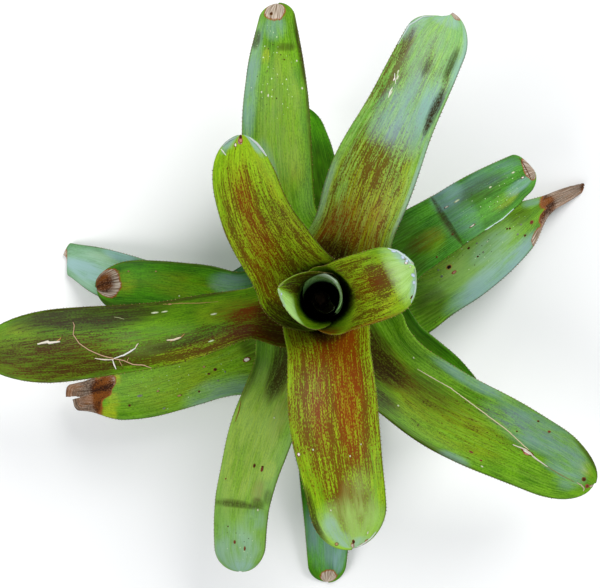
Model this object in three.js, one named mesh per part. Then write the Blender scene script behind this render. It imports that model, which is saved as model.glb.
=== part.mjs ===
// A neoregelia bromeliad, lifted whole from where it grew and stood on its cut stem.
// Nineteen strap leaves sit in one spiral on a short stem. Their sheaths wrap round each
// other into the tube that holds the plant's water, and their blades arch out of it.
//
// Millimetres, +Z up. The origin is the centre of the stem's flat cut face, which stands on
// the surface. Bearings are degrees anticlockwise from +X, seen from above.
import * as THREE from 'three';

// ---------- Driving dimensions ----------

// Stem: a short woody cone, cut flat at the foot and domed where the youngest leaf grows.
const STEM_FOOT_RADIUS = 14.5;
const STEM_TOP_RADIUS = 4;
const STEM_CONE_HEIGHT = 48;
const STEM_DOME_HEIGHT = 3;
const STEM_SIDES = 32;

// Leaves: rank 0 is the youngest, in the heart. Each older leaf sits one step lower on the
// stem and one step further out in the wall of the tube, and leaves the tube lower down.
const FIRST_SEAT_HEIGHT = 47;
const SEAT_STEP = 2.4;
const SEAT_CLEARANCE = 0.65;
const FIRST_WALL_RANK = 2;
const FIRST_WALL_RADIUS = 14.5;
const WALL_STEP = 2.1;
const FIRST_SHOULDER_HEIGHT = 103;
const SHOULDER_STEP = 4.9;
const FIRST_FLARE = 0.62; // a sheath starts level, towards this share of the way to its wall
const FLARE_STEP = 0.029;
const WIDEST_WRAP_DEG = 125; // half the turn that a young sheath makes round the axis
const WRAP_STEP_DEG = 4;
const NARROWEST_WRAP_DEG = 80;

// Leaf tissue: thick along the middle, thin at the margins and in the sheath.
const MIDRIB_THICKNESS = 1.2;
const MARGIN_THICKNESS = 0.7;
const SHEATH_THICKNESS = 0.8;
const SMALLEST_TIP_WIDTH = 2.4;

// A section changes from a ring round the axis to an open channel over this stretch of the
// leaf, measured from the top of the sheath.
const CHANNEL_FROM = -4;
const CHANNEL_UNTIL = 26;
const STEEP_GUARD = 0.12; // keeps the section level where the leaf stands almost upright

// The margins of a blade wave a little, most at the tip.
const WAVE_HEIGHT = 1.5;
const WAVE_LENGTH = 75;

// Faceting: rows along a leaf, and strips across it.
const SHEATH_ROWS = 5;
const BLADE_ROWS = 11;
const TIP_ROWS = 5;
const CUP_STRIPS = 10;
const CUP_RANKS = 5;
const OUTER_STRIPS = 6;
const ARC_STEPS = 20;

// Each leaf has its bearing on the stem, the width of its sheath, the line of its blade past
// the tube as [bearing, reach from the axis, height], the blade's full width at shares of its
// length, the length of its rounded end, and its channel's half angle in degrees at both ends
// of the blade. The two in the heart also have a wall radius and a shoulder of their own.
const LEAVES = [
  {
    name: 'leaf_01_heart', color: 'pale', bearing: 290, sheath: 22, wall: 4.6, shoulder: 66,
    line: [[300, 5.5, 78], [325, 8.5, 90]],
    widths: [[0.6, 11], [1, 7]], tip: 10, channel: [60, 40],
  },
  {
    name: 'leaf_02_young', color: 'pale', bearing: 60, sheath: 48, wall: 11.2, shoulder: 84,
    line: [[60, 11.8, 100], [57, 13.2, 118]],
    widths: [[0.6, 39], [1, 30]], tip: 12, channel: [112, 92],
  },
  {
    name: 'leaf_03_cup_left', color: 'streaked', bearing: 168, sheath: 62,
    line: [[167, 15.8, 119], [166, 18.5, 133], [165, 26, 141]],
    widths: [[0.5, 44], [0.8, 36], [1, 26]], tip: 14, channel: [95, 55],
  },
  {
    name: 'leaf_04_cup_right', color: 'streaked', bearing: 14, sheath: 72,
    line: [[16, 21, 128], [18, 35, 152], [21, 50, 163]],
    widths: [[0.3, 49], [0.65, 43], [1, 36]], tip: 16, channel: [85, 22],
  },
  {
    name: 'leaf_05_back_left', color: 'streaked', bearing: 146, sheath: 74,
    line: [[136, 32, 120], [129, 58.5, 146], [122.4, 81, 159], [117, 97.5, 163]],
    widths: [[0.3, 49], [0.6, 41.5], [0.8, 36], [1, 33]], tip: 26, channel: [60, 25],
  },
  {
    name: 'leaf_06_front', color: 'streaked', bearing: 278, sheath: 74,
    line: [[276, 36, 107], [275, 72, 123], [276.5, 110, 126], [277, 143, 114]],
    widths: [[0.12, 51], [0.35, 54], [0.5, 52], [0.65, 47], [0.8, 44], [1, 40]],
    tip: 28, channel: [45, 14],
  },
  {
    name: 'leaf_07_back_right', color: 'streaked', bearing: 62, sheath: 74,
    line: [[66, 39.5, 103], [68.5, 77, 125], [67.2, 124.8, 135], [66.2, 176, 121]],
    widths: [[0.2, 48], [0.35, 52], [0.45, 50], [0.6, 41.5], [0.8, 38.5], [1, 35]],
    tip: 22, channel: [45, 16],
  },
  {
    name: 'leaf_08_left', color: 'streaked', bearing: 199, sheath: 74,
    line: [[190.8, 45.5, 90], [192, 92, 101], [190.3, 140, 93], [189.4, 180, 80], [189, 214, 66]],
    widths: [[0.07, 34], [0.15, 32], [0.25, 38], [0.45, 41], [0.66, 45], [1, 44]],
    tip: 60, channel: [50, 10],
  },
  {
    name: 'leaf_09_front_right', color: 'green', bearing: 320, sheath: 74,
    line: [[313, 46, 82], [317.7, 92, 94], [322.9, 139.5, 88], [325.9, 205.5, 61]],
    widths: [[0.2, 49], [0.35, 52], [0.55, 50.5], [0.75, 45], [1, 39]], tip: 45, channel: [42, 14],
  },
  {
    name: 'leaf_10_back', color: 'green', bearing: 108, sheath: 72,
    line: [[114, 47, 76], [107.3, 89, 88], [102, 132, 86], [98.5, 184, 70]],
    widths: [[0.15, 38], [0.4, 43.5], [0.55, 42], [0.75, 34], [0.9, 25], [1, 18.5]],
    tip: 10, channel: [42, 16],
  },
  {
    name: 'leaf_11_front_left', color: 'green', bearing: 236, sheath: 72,
    line: [[243, 47, 66], [245.3, 85.5, 73], [248.5, 131.5, 68], [250, 146, 64], [253.5, 182, 42]],
    widths: [[0.08, 44], [0.2, 42], [0.4, 41], [0.5, 37], [0.65, 34.8], [1, 31]],
    tip: 24, channel: [42, 12],
  },
  {
    name: 'leaf_12_right', color: 'green', bearing: 24, sheath: 72,
    line: [[31, 48.5, 62], [32, 88, 74], [32, 112, 73], [31, 156.5, 56]],
    widths: [[0.2, 43], [0.33, 41], [0.45, 37.5], [0.65, 35.5], [1, 31]], tip: 11, channel: [42, 16],
  },
  {
    name: 'leaf_13_left_mid', color: 'deep', bearing: 186, sheath: 70,
    line: [[182, 46, 54], [177.5, 78, 60], [176, 110, 57], [177.3, 144, 42]],
    widths: [[0.15, 36], [0.35, 41], [0.6, 36], [1, 33]], tip: 30, channel: [42, 26],
  },
  {
    name: 'leaf_14_front_right_low', color: 'deep', bearing: 330, sheath: 70,
    line: [[328, 52, 50], [325.5, 86, 54], [324, 122, 44]],
    widths: [[0.25, 42], [0.6, 40], [1, 28]], tip: 18, channel: [40, 16],
  },
  {
    name: 'leaf_15_back_low', color: 'deep', bearing: 93, sheath: 70,
    line: [[94, 50, 45], [96, 88, 49], [97, 126, 36]],
    widths: [[0.25, 40], [0.6, 37], [1, 24]], tip: 18, channel: [40, 16],
  },
  {
    name: 'leaf_16_left_front_low', color: 'green', bearing: 223, sheath: 70,
    line: [[218, 56, 40], [210, 96, 42], [206, 135, 34], [201.5, 180, 17]],
    widths: [[0.25, 42], [0.6, 40], [0.78, 34], [0.85, 22], [1, 17]], tip: 5, channel: [36, 12],
  },
  {
    name: 'leaf_17_right_low', color: 'green', bearing: 356, sheath: 70,
    line: [[359, 56, 35], [8.5, 88, 36], [18, 127, 28], [22.4, 159.5, 17], [23.2, 196, 1]],
    widths: [[0.2, 38.5], [0.5, 37.5], [0.66, 31], [0.76, 13], [1, 7]], tip: 4, channel: [36, 14],
  },
  {
    name: 'leaf_18_left_low', color: 'pale', bearing: 184, sheath: 68,
    line: [[184, 58, 30], [178, 100, 28], [173.4, 140, 18], [170.8, 174.5, 1.5]],
    widths: [[0.1, 42], [0.25, 37], [0.6, 35], [0.8, 31], [1, 20]], tip: 3, channel: [34, 8],
  },
  {
    name: 'leaf_19_front_low', color: 'deep', bearing: 274, sheath: 68,
    line: [[273, 58, 26], [272, 100, 24], [272, 148, 14], [271.5, 193, 0.8]],
    widths: [[0.25, 40], [0.6, 34], [1, 24]], tip: 14, channel: [34, 12],
  },
];

const LEAF_COLORS = {
  pale: '#8fb889', // shaded heart and bleached old leaf
  streaked: '#86801f', // young leaves, red-brown streaks over yellow-green
  green: '#4b8330',
  deep: '#2f6b34', // leaves that grew in the shade of the others
};
const LEAF_ROUGHNESS = 0.45;
const STEM_COLOR = '#7b5a3a';
const STEM_ROUGHNESS = 0.9;

// ---------- Small helpers ----------

const radians = THREE.MathUtils.degToRad;
const lerp = THREE.MathUtils.lerp;
const UP = new THREE.Vector3(0, 0, 1);

function polar(bearing, reach, height) {
  const a = radians(bearing);
  return new THREE.Vector3(reach * Math.cos(a), reach * Math.sin(a), height);
}

// The value at x on the straight runs between [x, value] pairs.
function between(pairs, x) {
  const after = Math.max(1, pairs.findIndex(([at]) => at >= x));
  const [x0, y0] = pairs[after - 1];
  const [x1, y1] = pairs[after];
  return lerp(y0, y1, (x - x0) / (x1 - x0));
}

// ---------- Stem ----------

function stemRadiusAt(height) {
  return lerp(STEM_FOOT_RADIUS, STEM_TOP_RADIUS, height / STEM_CONE_HEIGHT);
}

function makeStemGeometry() {
  const domeSteps = 3;
  const profile = [new THREE.Vector2(0, 0), new THREE.Vector2(STEM_FOOT_RADIUS, 0)];
  for (let k = 0; k < domeSteps; k++) {
    const a = (k / domeSteps) * (Math.PI / 2);
    profile.push(new THREE.Vector2(
      STEM_TOP_RADIUS * Math.cos(a),
      STEM_CONE_HEIGHT + STEM_DOME_HEIGHT * Math.sin(a),
    ));
  }
  profile.push(new THREE.Vector2(0, STEM_CONE_HEIGHT + STEM_DOME_HEIGHT));
  const geometry = new THREE.LatheGeometry(profile, STEM_SIDES);
  geometry.rotateX(Math.PI / 2); // a lathe turns about +Y
  return geometry;
}

// ---------- Leaf line ----------

// The sheath in profile, from its seat on the stem out and up to its shoulder, where it
// leaves the wall of the tube.
function sheathProfile(leaf, rank) {
  const order = rank - FIRST_WALL_RANK;
  const seatHeight = FIRST_SEAT_HEIGHT - SEAT_STEP * rank;
  const seatRadius = stemRadiusAt(seatHeight) + SEAT_CLEARANCE;
  const wall = leaf.wall ?? FIRST_WALL_RADIUS + WALL_STEP * order;
  const shoulder = leaf.shoulder ?? FIRST_SHOULDER_HEIGHT - SHOULDER_STEP * order;
  const flare = FIRST_FLARE - FLARE_STEP * order;
  return new THREE.QuadraticBezierCurve(
    new THREE.Vector2(seatRadius, seatHeight),
    new THREE.Vector2(lerp(seatRadius, wall, flare), seatHeight),
    new THREE.Vector2(wall, shoulder),
  );
}

// The rows of a leaf from its seat to its tip. Each holds the point of its middle line, its
// full width, its distance past the shoulder and its share of the blade's length.
function leafRows(leaf, rank) {
  const profile = sheathProfile(leaf, rank);
  const onSheath = (t) => {
    const { x: reach, y: height } = profile.getPoint(t);
    return polar(leaf.bearing, reach, height);
  };
  const rows = [];
  for (let k = 0; k < SHEATH_ROWS; k++) {
    const t = k / SHEATH_ROWS;
    rows.push({ at: onSheath(t), width: leaf.sheath, past: (t - 1) * profile.getLength(), share: 0 });
  }

  // The blade's curve starts a little inside the sheath, so it leaves in the same direction.
  const knots = [onSheath(0.8), onSheath(1), ...leaf.line.map((knot) => polar(...knot))];
  const curve = new THREE.CatmullRomCurve3(knots, false, 'centripetal');
  curve.arcLengthDivisions = ARC_STEPS * (knots.length - 1);
  const lengths = curve.getLengths();
  const lead = lengths[ARC_STEPS];
  const whole = lengths.at(-1);
  const blade = whole - lead;
  const widths = [[0, leaf.sheath], ...leaf.widths];
  const addRow = (past, narrowing) => {
    const share = Math.min(1, past / blade);
    rows.push({
      at: curve.getPointAt(Math.min(1, (lead + past) / whole)),
      width: Math.max(SMALLEST_TIP_WIDTH, narrowing * between(widths, share)),
      past,
      share,
    });
  };
  const body = blade - leaf.tip;
  for (let k = 0; k <= BLADE_ROWS; k++) addRow(body * (k / BLADE_ROWS), 1);
  for (let k = 1; k <= TIP_ROWS; k++) {
    const a = (k / TIP_ROWS) * (Math.PI / 2);
    addRow(body + leaf.tip * Math.sin(a), Math.cos(a));
  }
  return rows;
}

// ---------- Leaf surface ----------

// Across the leaf, v runs from -1 at the right margin to 1 at the left one, seen from the
// axis. In the sheath a section is part of a ring round the axis.
function ringPoint(row, v, wrap) {
  const reach = Math.hypot(row.at.x, row.at.y);
  const turn = v * Math.min(radians(wrap), row.width / (2 * reach));
  return row.at.clone().applyAxisAngle(UP, turn);
}

// In the blade a section is an open channel, square to the leaf's line, whose margins rise.
function channelPoint(row, v, leaf, rank) {
  const half = radians(lerp(leaf.channel[0], leaf.channel[1], row.share));
  const radius = row.width / (2 * half);
  const wave = Math.sin((2 * Math.PI * row.past) / WAVE_LENGTH + rank + 2 * Math.sign(v));
  const rise = radius * (1 - Math.cos(half * v)) + WAVE_HEIGHT * v * v * wave * row.share;
  return row.at.clone()
    .addScaledVector(row.across, radius * Math.sin(half * v))
    .addScaledVector(row.inward, rise);
}

// The middle surface of a leaf as a grid of points, one row of columns at a time.
function middleSurface(leaf, rank, strips) {
  const wrap = Math.max(NARROWEST_WRAP_DEG, WIDEST_WRAP_DEG - WRAP_STEP_DEG * (rank - FIRST_WALL_RANK));
  const rows = leafRows(leaf, rank);
  rows.forEach((row, k) => {
    const before = rows[Math.max(0, k - 1)].at;
    const after = rows[Math.min(rows.length - 1, k + 1)].at;
    const along = after.clone().sub(before).normalize();
    const round = UP.clone().cross(row.at).normalize();
    row.across = UP.clone().cross(along).addScaledVector(round, STEEP_GUARD);
    row.across.addScaledVector(along, -row.across.dot(along)).normalize();
    row.inward = along.clone().cross(row.across);
  });
  return rows.map((row) => {
    const opened = THREE.MathUtils.smoothstep(row.past, CHANNEL_FROM, CHANNEL_UNTIL);
    const points = [];
    for (let c = 0; c <= strips; c++) {
      const v = (2 * c) / strips - 1;
      points.push(ringPoint(row, v, wrap).lerp(channelPoint(row, v, leaf, rank), opened));
    }
    points.opened = opened;
    return points;
  });
}

// A closed solid: the middle surface moved half a thickness each way, with both faces split
// into triangles alike, and closed along its margins and ends.
function makeLeafGeometry(leaf, rank) {
  const strips = rank < CUP_RANKS ? CUP_STRIPS : OUTER_STRIPS;
  const grid = middleSurface(leaf, rank, strips);
  const last = grid.length - 1;
  const faces = [[], []];
  grid.forEach((points, r) => points.forEach((point, c) => {
    const along = grid[Math.min(last, r + 1)][c].clone().sub(grid[Math.max(0, r - 1)][c]);
    const across = points[Math.min(strips, c + 1)].clone().sub(points[Math.max(0, c - 1)]);
    const normal = along.cross(across).normalize();
    const v = (2 * c) / strips - 1;
    const inBlade = lerp(MIDRIB_THICKNESS, MARGIN_THICKNESS, v * v);
    const half = lerp(SHEATH_THICKNESS, inBlade, points.opened) / 2;
    faces[0].push(...point.clone().addScaledVector(normal, half));
    faces[1].push(...point.clone().addScaledVector(normal, -half));
  }));

  const columns = strips + 1;
  const inner = (r, c) => r * columns + c;
  const outer = (r, c) => inner(r, c) + grid.length * columns;
  const triangles = [];
  const quad = (a, b, c, d) => triangles.push(a, b, c, a, c, d);
  for (let r = 0; r < last; r++) {
    for (let c = 0; c < strips; c++) {
      quad(inner(r, c), inner(r + 1, c), inner(r + 1, c + 1), inner(r, c + 1));
      quad(outer(r + 1, c + 1), outer(r + 1, c), outer(r, c), outer(r, c + 1));
    }
    quad(outer(r, 0), outer(r + 1, 0), inner(r + 1, 0), inner(r, 0));
    quad(inner(r, strips), inner(r + 1, strips), outer(r + 1, strips), outer(r, strips));
  }
  for (let c = 0; c < strips; c++) {
    quad(inner(0, c), inner(0, c + 1), outer(0, c + 1), outer(0, c));
    quad(outer(last, c), outer(last, c + 1), inner(last, c + 1), inner(last, c));
  }

  const geometry = new THREE.BufferGeometry();
  geometry.setAttribute('position', new THREE.Float32BufferAttribute(faces.flat(), 3));
  geometry.setIndex(triangles);
  return geometry;
}

// ---------- The plant ----------

function makeMesh(name, geometry, color, roughness) {
  geometry.computeVertexNormals();
  const material = new THREE.MeshStandardMaterial({ color, roughness, metalness: 0 });
  const mesh = new THREE.Mesh(geometry, material);
  mesh.name = name;
  return mesh;
}

const plant = new THREE.Group();
plant.name = 'neoregelia';
plant.add(makeMesh('stem', makeStemGeometry(), STEM_COLOR, STEM_ROUGHNESS));
LEAVES.forEach((leaf, rank) => {
  const geometry = makeLeafGeometry(leaf, rank);
  plant.add(makeMesh(leaf.name, geometry, LEAF_COLORS[leaf.color], LEAF_ROUGHNESS));
});

export default plant;
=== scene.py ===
import math
from functools import partial

import bpy
import numpy as np
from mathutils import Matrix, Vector


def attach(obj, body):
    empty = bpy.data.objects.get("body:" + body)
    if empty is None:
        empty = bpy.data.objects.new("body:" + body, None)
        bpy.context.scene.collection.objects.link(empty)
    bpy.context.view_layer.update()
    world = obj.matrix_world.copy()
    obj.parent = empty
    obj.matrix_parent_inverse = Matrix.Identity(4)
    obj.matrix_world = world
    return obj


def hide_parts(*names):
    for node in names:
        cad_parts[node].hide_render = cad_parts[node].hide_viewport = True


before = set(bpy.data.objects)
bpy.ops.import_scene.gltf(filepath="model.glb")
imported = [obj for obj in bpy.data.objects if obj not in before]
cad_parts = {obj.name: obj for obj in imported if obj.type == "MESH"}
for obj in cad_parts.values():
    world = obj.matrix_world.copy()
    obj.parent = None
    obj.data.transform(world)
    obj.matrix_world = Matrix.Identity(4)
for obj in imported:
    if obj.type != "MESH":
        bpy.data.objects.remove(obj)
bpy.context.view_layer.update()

# ---- Stem ----
# The short woody stock that every leaf grows from. It is ringed with the scars of leaves
# that have dropped, and its flat foot shows the pale cut, dotted with dark fibres.

MM = 0.001
STEM_FOOT_RADIUS = 14.5
STEM_TOP_RADIUS = 4.0
STEM_CONE_HEIGHT = 48.0
STEM_DOME_HEIGHT = 3.0
STEM_ROW_HEIGHT = 0.4
STEM_SIDES = 96
FOOT_RADII = (3, 6, 9, 12)
FOOT_CHAMFER = 0.3
DOME_RINGS = 5
SCAR_SPACING = 2.4
SCAR_DEPTH = 0.45
SCAR_SHARE = 0.45
SCAR_UNEVENNESS = 0.12
SCAR_LOBES = 5
SCAR_LOBE_TURN = 0.9
NODE_PREFIXES = ("ShaderNode", "GeometryNode", "FunctionNode", "")


def stem_radius(height):
    share = height / STEM_CONE_HEIGHT
    return STEM_FOOT_RADIUS + (STEM_TOP_RADIUS - STEM_FOOT_RADIUS) * share


def linear_colour(hex_colour):
    """An sRGB hex colour as the linear values that a shader socket takes."""
    parts = [int(hex_colour[k:k + 2], 16) / 255 for k in (1, 3, 5)]
    return [c / 12.92 if c <= 0.04045 else ((c + 0.055) / 1.055) ** 2.4 for c in parts] + [1]


def add_node(tree, kind, inputs=(), **settings):
    """Adds a node, gives it its settings, and sets or links its inputs: a list fills those
    that the settings leave in use, in their order, and a dict names them. The kind is a
    type's name without its prefix, or in capitals what a math node does."""
    if kind.isupper():
        settings["operation"] = kind
        kind = "Math"
    node = tree.nodes.new(next(prefix + kind for prefix in NODE_PREFIXES
                               if hasattr(bpy.types, prefix + kind)))
    for name, value in settings.items():
        setattr(node, name, value)
    sockets = [socket for socket in node.inputs if socket.enabled]
    if isinstance(inputs, dict):
        named = {socket.name: socket for socket in reversed(sockets)}
        pairs = [(named[name], value) for name, value in inputs.items()]
    else:
        pairs = list(zip(sockets, inputs))
    for socket, value in pairs:
        if isinstance(value, bpy.types.Node):
            value = next(output for output in value.outputs if output.enabled)
        if isinstance(value, bpy.types.NodeSocket):
            tree.links.new(value, socket)
        elif isinstance(value, str) and value.startswith("#"):
            socket.default_value = linear_colour(value)
        else:
            socket.default_value = value
    return node


def new_material(name):
    """An empty node material, and the function that adds its nodes."""
    material = bpy.data.materials.new(name)
    material.use_nodes = True
    material.node_tree.nodes.clear()
    return material, partial(add_node, material.node_tree)


def add_object(name, data):
    made = bpy.data.objects.new(name, data)
    bpy.context.scene.collection.objects.link(made)
    return made


def finish_piece(piece, material, slot, *nodes):
    """Gives a finished mesh its material, puts it on the root body, and hides the plain parts
    that it stands for.
    """
    piece.data.materials.clear()
    piece.data.materials.append(material)
    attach(piece, "root")
    if nodes:
        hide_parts(*nodes)


def make_stem_mesh():
    """A lathe with a step at each old leaf scar, all of it inside the plain cone."""
    heights = np.arange(0, STEM_CONE_HEIGHT + 0.01, STEM_ROW_HEIGHT)
    step = np.clip(1 - heights / SCAR_SPACING % 1 / SCAR_SHARE, 0, 1) ** 1.5
    radii = stem_radius(heights) - SCAR_DEPTH * step
    radii[0] -= FOOT_CHAMFER
    over = np.arange(1, DOME_RINGS + 1) / (DOME_RINGS + 1) * math.pi / 2
    radii = np.concatenate([FOOT_RADII, radii, radii[-1] * np.cos(over)])[:, None]
    heights = np.concatenate([np.zeros(len(FOOT_RADII)), heights,
                              STEM_CONE_HEIGHT + STEM_DOME_HEIGHT * np.sin(over)])[:, None]
    turn = 2 * math.pi * np.arange(STEM_SIDES) / STEM_SIDES
    # The scars are a little uneven round the stem, deeper but never proud of the cone.
    uneven = SCAR_UNEVENNESS * (1 + np.sin(SCAR_LOBES * turn + SCAR_LOBE_TURN * heights))
    radii = radii - np.where(heights > 1, uneven, 0)
    rings = np.stack(np.broadcast_arrays(radii * np.cos(turn), radii * np.sin(turn), heights), -1)
    vertices = np.vstack([(0, 0, 0), rings.reshape(-1, 3),
                          (0, 0, STEM_CONE_HEIGHT + STEM_DOME_HEIGHT)]) * MM
    here = np.arange(1, len(vertices) - 1).reshape(-1, STEM_SIDES)
    after = np.roll(here, -1, axis=1)
    faces = [(0, b, a) for a, b in zip(here[0], after[0])]
    faces += zip(here[:-1].flat, after[:-1].flat, after[1:].flat, here[1:].flat)
    faces += [(a, b, len(vertices) - 1) for a, b in zip(here[-1], after[-1])]
    mesh = bpy.data.meshes.new("stem_bark")
    mesh.from_pydata(vertices, [], faces)
    mesh.polygons.foreach_set("use_smooth", [True] * len(mesh.polygons))
    mesh.update()
    return mesh


def fibrous_bark():
    """Weathered bromeliad stock: dull brown, coarse and matt, with a pale cut foot."""
    material, node = new_material("fibrous_bark")
    place = node("TexCoord").outputs["Object"]
    # Fibres about 1 mm apart, four times as long up the stem, and blotches about 6 mm across.
    upright = node("Mapping", {"Vector": place, "Scale": (1, 1, 0.25)})
    fibres = node("TexNoise", {
        "Vector": upright, "Scale": 900.0, "Detail": 4.0, "Roughness": 0.7})
    blotches = node("TexNoise", {"Vector": place, "Scale": 160.0})
    bark = node("Mix", [fibres, "#3d2a1a", "#9a7b56"], data_type="RGBA")
    bark = node("Mix", [blotches, bark, "#6b4c2e"], data_type="RGBA")
    # The cut is at height 0, and shows pale within the first 0.2 mm. The dots on it are the
    # ends of fibres, about 1.4 mm apart.
    height = node("SeparateXYZ", [place]).outputs["Z"]
    on_cut = node("MapRange", [height, 0.0001, 0.0003, 1.0, 0.0])
    dots = node("TexVoronoi", {"Vector": place, "Scale": 700.0})
    cut = node("Mix", [dots, "#5a3d22", "#cdb58c"], data_type="RGBA")
    colour = node("Mix", [on_cut, bark, cut], data_type="RGBA")
    bump = node("Bump", {"Height": fibres, "Strength": 0.6, "Distance": 0.0004})
    shader = node("BsdfPrincipled", {
        "Base Color": colour, "Roughness": 0.9, "IOR": 1.45, "Normal": bump})
    node("OutputMaterial", {"Surface": shader})
    return material


finish_piece(add_object("stem_bark", make_stem_mesh()), fibrous_bark(), "stem", "stem")

# ---- Low leaves ----
# The oldest leaves, lowest on the stem: broad straps about 1 mm thick that lie out low over
# the ground. They have greened over in the shade, and most tips are dried, torn or cut.

# The spiral. Ranks are counted from 0 at the heart, and lengths are in millimetres.
FIRST_SEAT_HEIGHT = 47.0
SEAT_STEP = 2.4
SEAT_CLEARANCE = 0.65
FIRST_WALL_RANK = 2
FIRST_WALL_RADIUS = 14.5
WALL_STEP = 2.1
FIRST_SHOULDER_HEIGHT = 103.0
SHOULDER_STEP = 4.9
FIRST_FLARE = 0.62
FLARE_STEP = 0.029
WIDEST_WRAP_DEG = 125.0
WRAP_STEP_DEG = 4.0
NARROWEST_WRAP_DEG = 80.0
# A leaf's section, its waves and lumps, and how finely it is made.
MIDRIB_THICKNESS = 1.2
MARGIN_THICKNESS = 0.7
SHEATH_THICKNESS = 0.8
SMALLEST_TIP_WIDTH = 2.4
SPLINE_LEAD = (0.8, 1.0)
LEAST_BLADE_ROWS = 8
CHANNEL_FROM = -4.0
CHANNEL_UNTIL = 26.0
STEEP_GUARD = 0.12
MERGE_DISTANCE = 0.002
WAVE_HEIGHT = 1.5
WAVE_LENGTH = 75.0
LUMP_HEIGHT = 0.35
LUMP_SIZE = 13.0
WAVE_LAG = 2.0
MARGIN_SHARPNESS = 5.0
END_SHARPNESS = 60.0
WIDTH_EASING = 0.06
EASING_SAMPLES = 7
SHEATH_SAMPLES = 201
ROW_SPACING = 1.6
SHEATH_ROWS = 26
TIP_ROWS = 12
COLUMNS = 33
ARC_STEPS = 20
# What each row of a leaf's line carries. The lengths among them are in millimetres at first.
ROW_NUMBERS = ("width", "past", "share", "half", "left", "right", "crumple")
ROW_VECTORS = ("across", "inward", "skew", "fork")
ROW_LENGTHS = ("width", "past", "crumple", "skew", "fork")


def polar(bearing, reach, height):
    turn = np.radians(bearing)
    return np.stack(np.broadcast_arrays(reach * np.cos(turn), reach * np.sin(turn), height), -1)


def lengths(vectors):
    return np.linalg.norm(vectors, axis=1, keepdims=True)


def unit(vectors):
    return vectors / lengths(vectors)


def along_spline(knots, t):
    """Points at shares t of the knot spans of a centripetal Catmull-Rom curve."""
    padded = np.vstack([2 * knots[0] - knots[1], knots, 2 * knots[-1] - knots[-2]])
    spans = len(knots) - 1
    span = np.minimum((t * spans).astype(int), spans - 1)
    w = (t * spans - span)[:, None]
    p0, p1, p2, p3 = (padded[span + k] for k in range(4))
    d0, d1, d2 = (lengths(b - a) ** 0.5 for a, b in ((p0, p1), (p1, p2), (p2, p3)))
    m1 = ((p1 - p0) / d0 - (p2 - p0) / (d0 + d1) + (p2 - p1) / d1) * d1
    m2 = ((p2 - p1) / d1 - (p3 - p1) / (d1 + d2) + (p3 - p2) / d2) * d1
    return (p1 + m1 * w + (3 * (p2 - p1) - 2 * m1 - m2) * w ** 2
            + (2 * (p1 - p2) + m1 + m2) * w ** 3)


def chain(first, count):
    """Edges that join a run of points into one line."""
    return [(k, k + 1) for k in range(first, first + count - 1)]


def leaf_line(leaf, rank):
    """The rows of a leaf from its seat on the stem to its tip: the middle point, the full
    width and the distance past the shoulder, in millimetres, and the share of the blade."""
    order = rank - FIRST_WALL_RANK
    seat_height = FIRST_SEAT_HEIGHT - SEAT_STEP * rank
    seat = stem_radius(seat_height) + SEAT_CLEARANCE
    wall = leaf.get("wall", FIRST_WALL_RADIUS + WALL_STEP * order)
    shoulder = leaf.get("shoulder", FIRST_SHOULDER_HEIGHT - SHOULDER_STEP * order)
    bend = seat + (wall - seat) * (FIRST_FLARE - FLARE_STEP * order)

    def on_sheath(t):
        t = np.asarray(t, float)
        reach = (1 - t) ** 2 * seat + 2 * (1 - t) * t * bend + t ** 2 * wall
        height = (1 - t ** 2) * seat_height + t ** 2 * shoulder
        return polar(leaf["bearing"], reach, height)

    sheath_steps = np.diff(on_sheath(np.linspace(0, 1, SHEATH_SAMPLES)), axis=0)
    sheath_length = lengths(sheath_steps).sum()
    t = np.arange(SHEATH_ROWS) / SHEATH_ROWS
    sheath_at = on_sheath(t)
    sheath_past = (t - 1) * sheath_length

    knots = np.vstack([on_sheath(SPLINE_LEAD), [polar(*knot) for knot in leaf["line"]]])
    t = np.linspace(0, 1, ARC_STEPS * (len(knots) - 1) + 1)
    steps = np.linalg.norm(np.diff(along_spline(knots, t), axis=0), axis=1)
    arc = np.concatenate([[0], np.cumsum(steps)])
    lead = arc[ARC_STEPS]
    blade = arc[-1] - lead
    body = blade - leaf["tip"]
    past = np.linspace(0, body, max(LEAST_BLADE_ROWS, round(body / ROW_SPACING)) + 1)
    turn = np.arange(1, TIP_ROWS + 1) / TIP_ROWS * math.pi / 2
    narrowing = np.concatenate([np.ones(len(past)), np.cos(turn)])
    past = np.concatenate([past, body + leaf["tip"] * np.sin(turn)])
    share = np.minimum(1, past / blade)
    blade_at = along_spline(knots, np.interp(lead + past, arc, t))

    # The widths are given at a few shares of the blade, and eased where they meet.
    at_share, at_width = zip((0, leaf["sheath"]), *leaf["widths"])
    eased = [np.interp(share + shift, at_share, at_width)
             for shift in np.linspace(-WIDTH_EASING, WIDTH_EASING, EASING_SAMPLES)]
    width = np.maximum(SMALLEST_TIP_WIDTH, narrowing * np.mean(eased, axis=0))
    return {
        "at": np.vstack([sheath_at, blade_at]),
        "width": np.concatenate([np.full(SHEATH_ROWS, leaf["sheath"]), width]),
        "past": np.concatenate([sheath_past, past]),
        "share": np.concatenate([np.zeros(SHEATH_ROWS), share]),
    }


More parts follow.
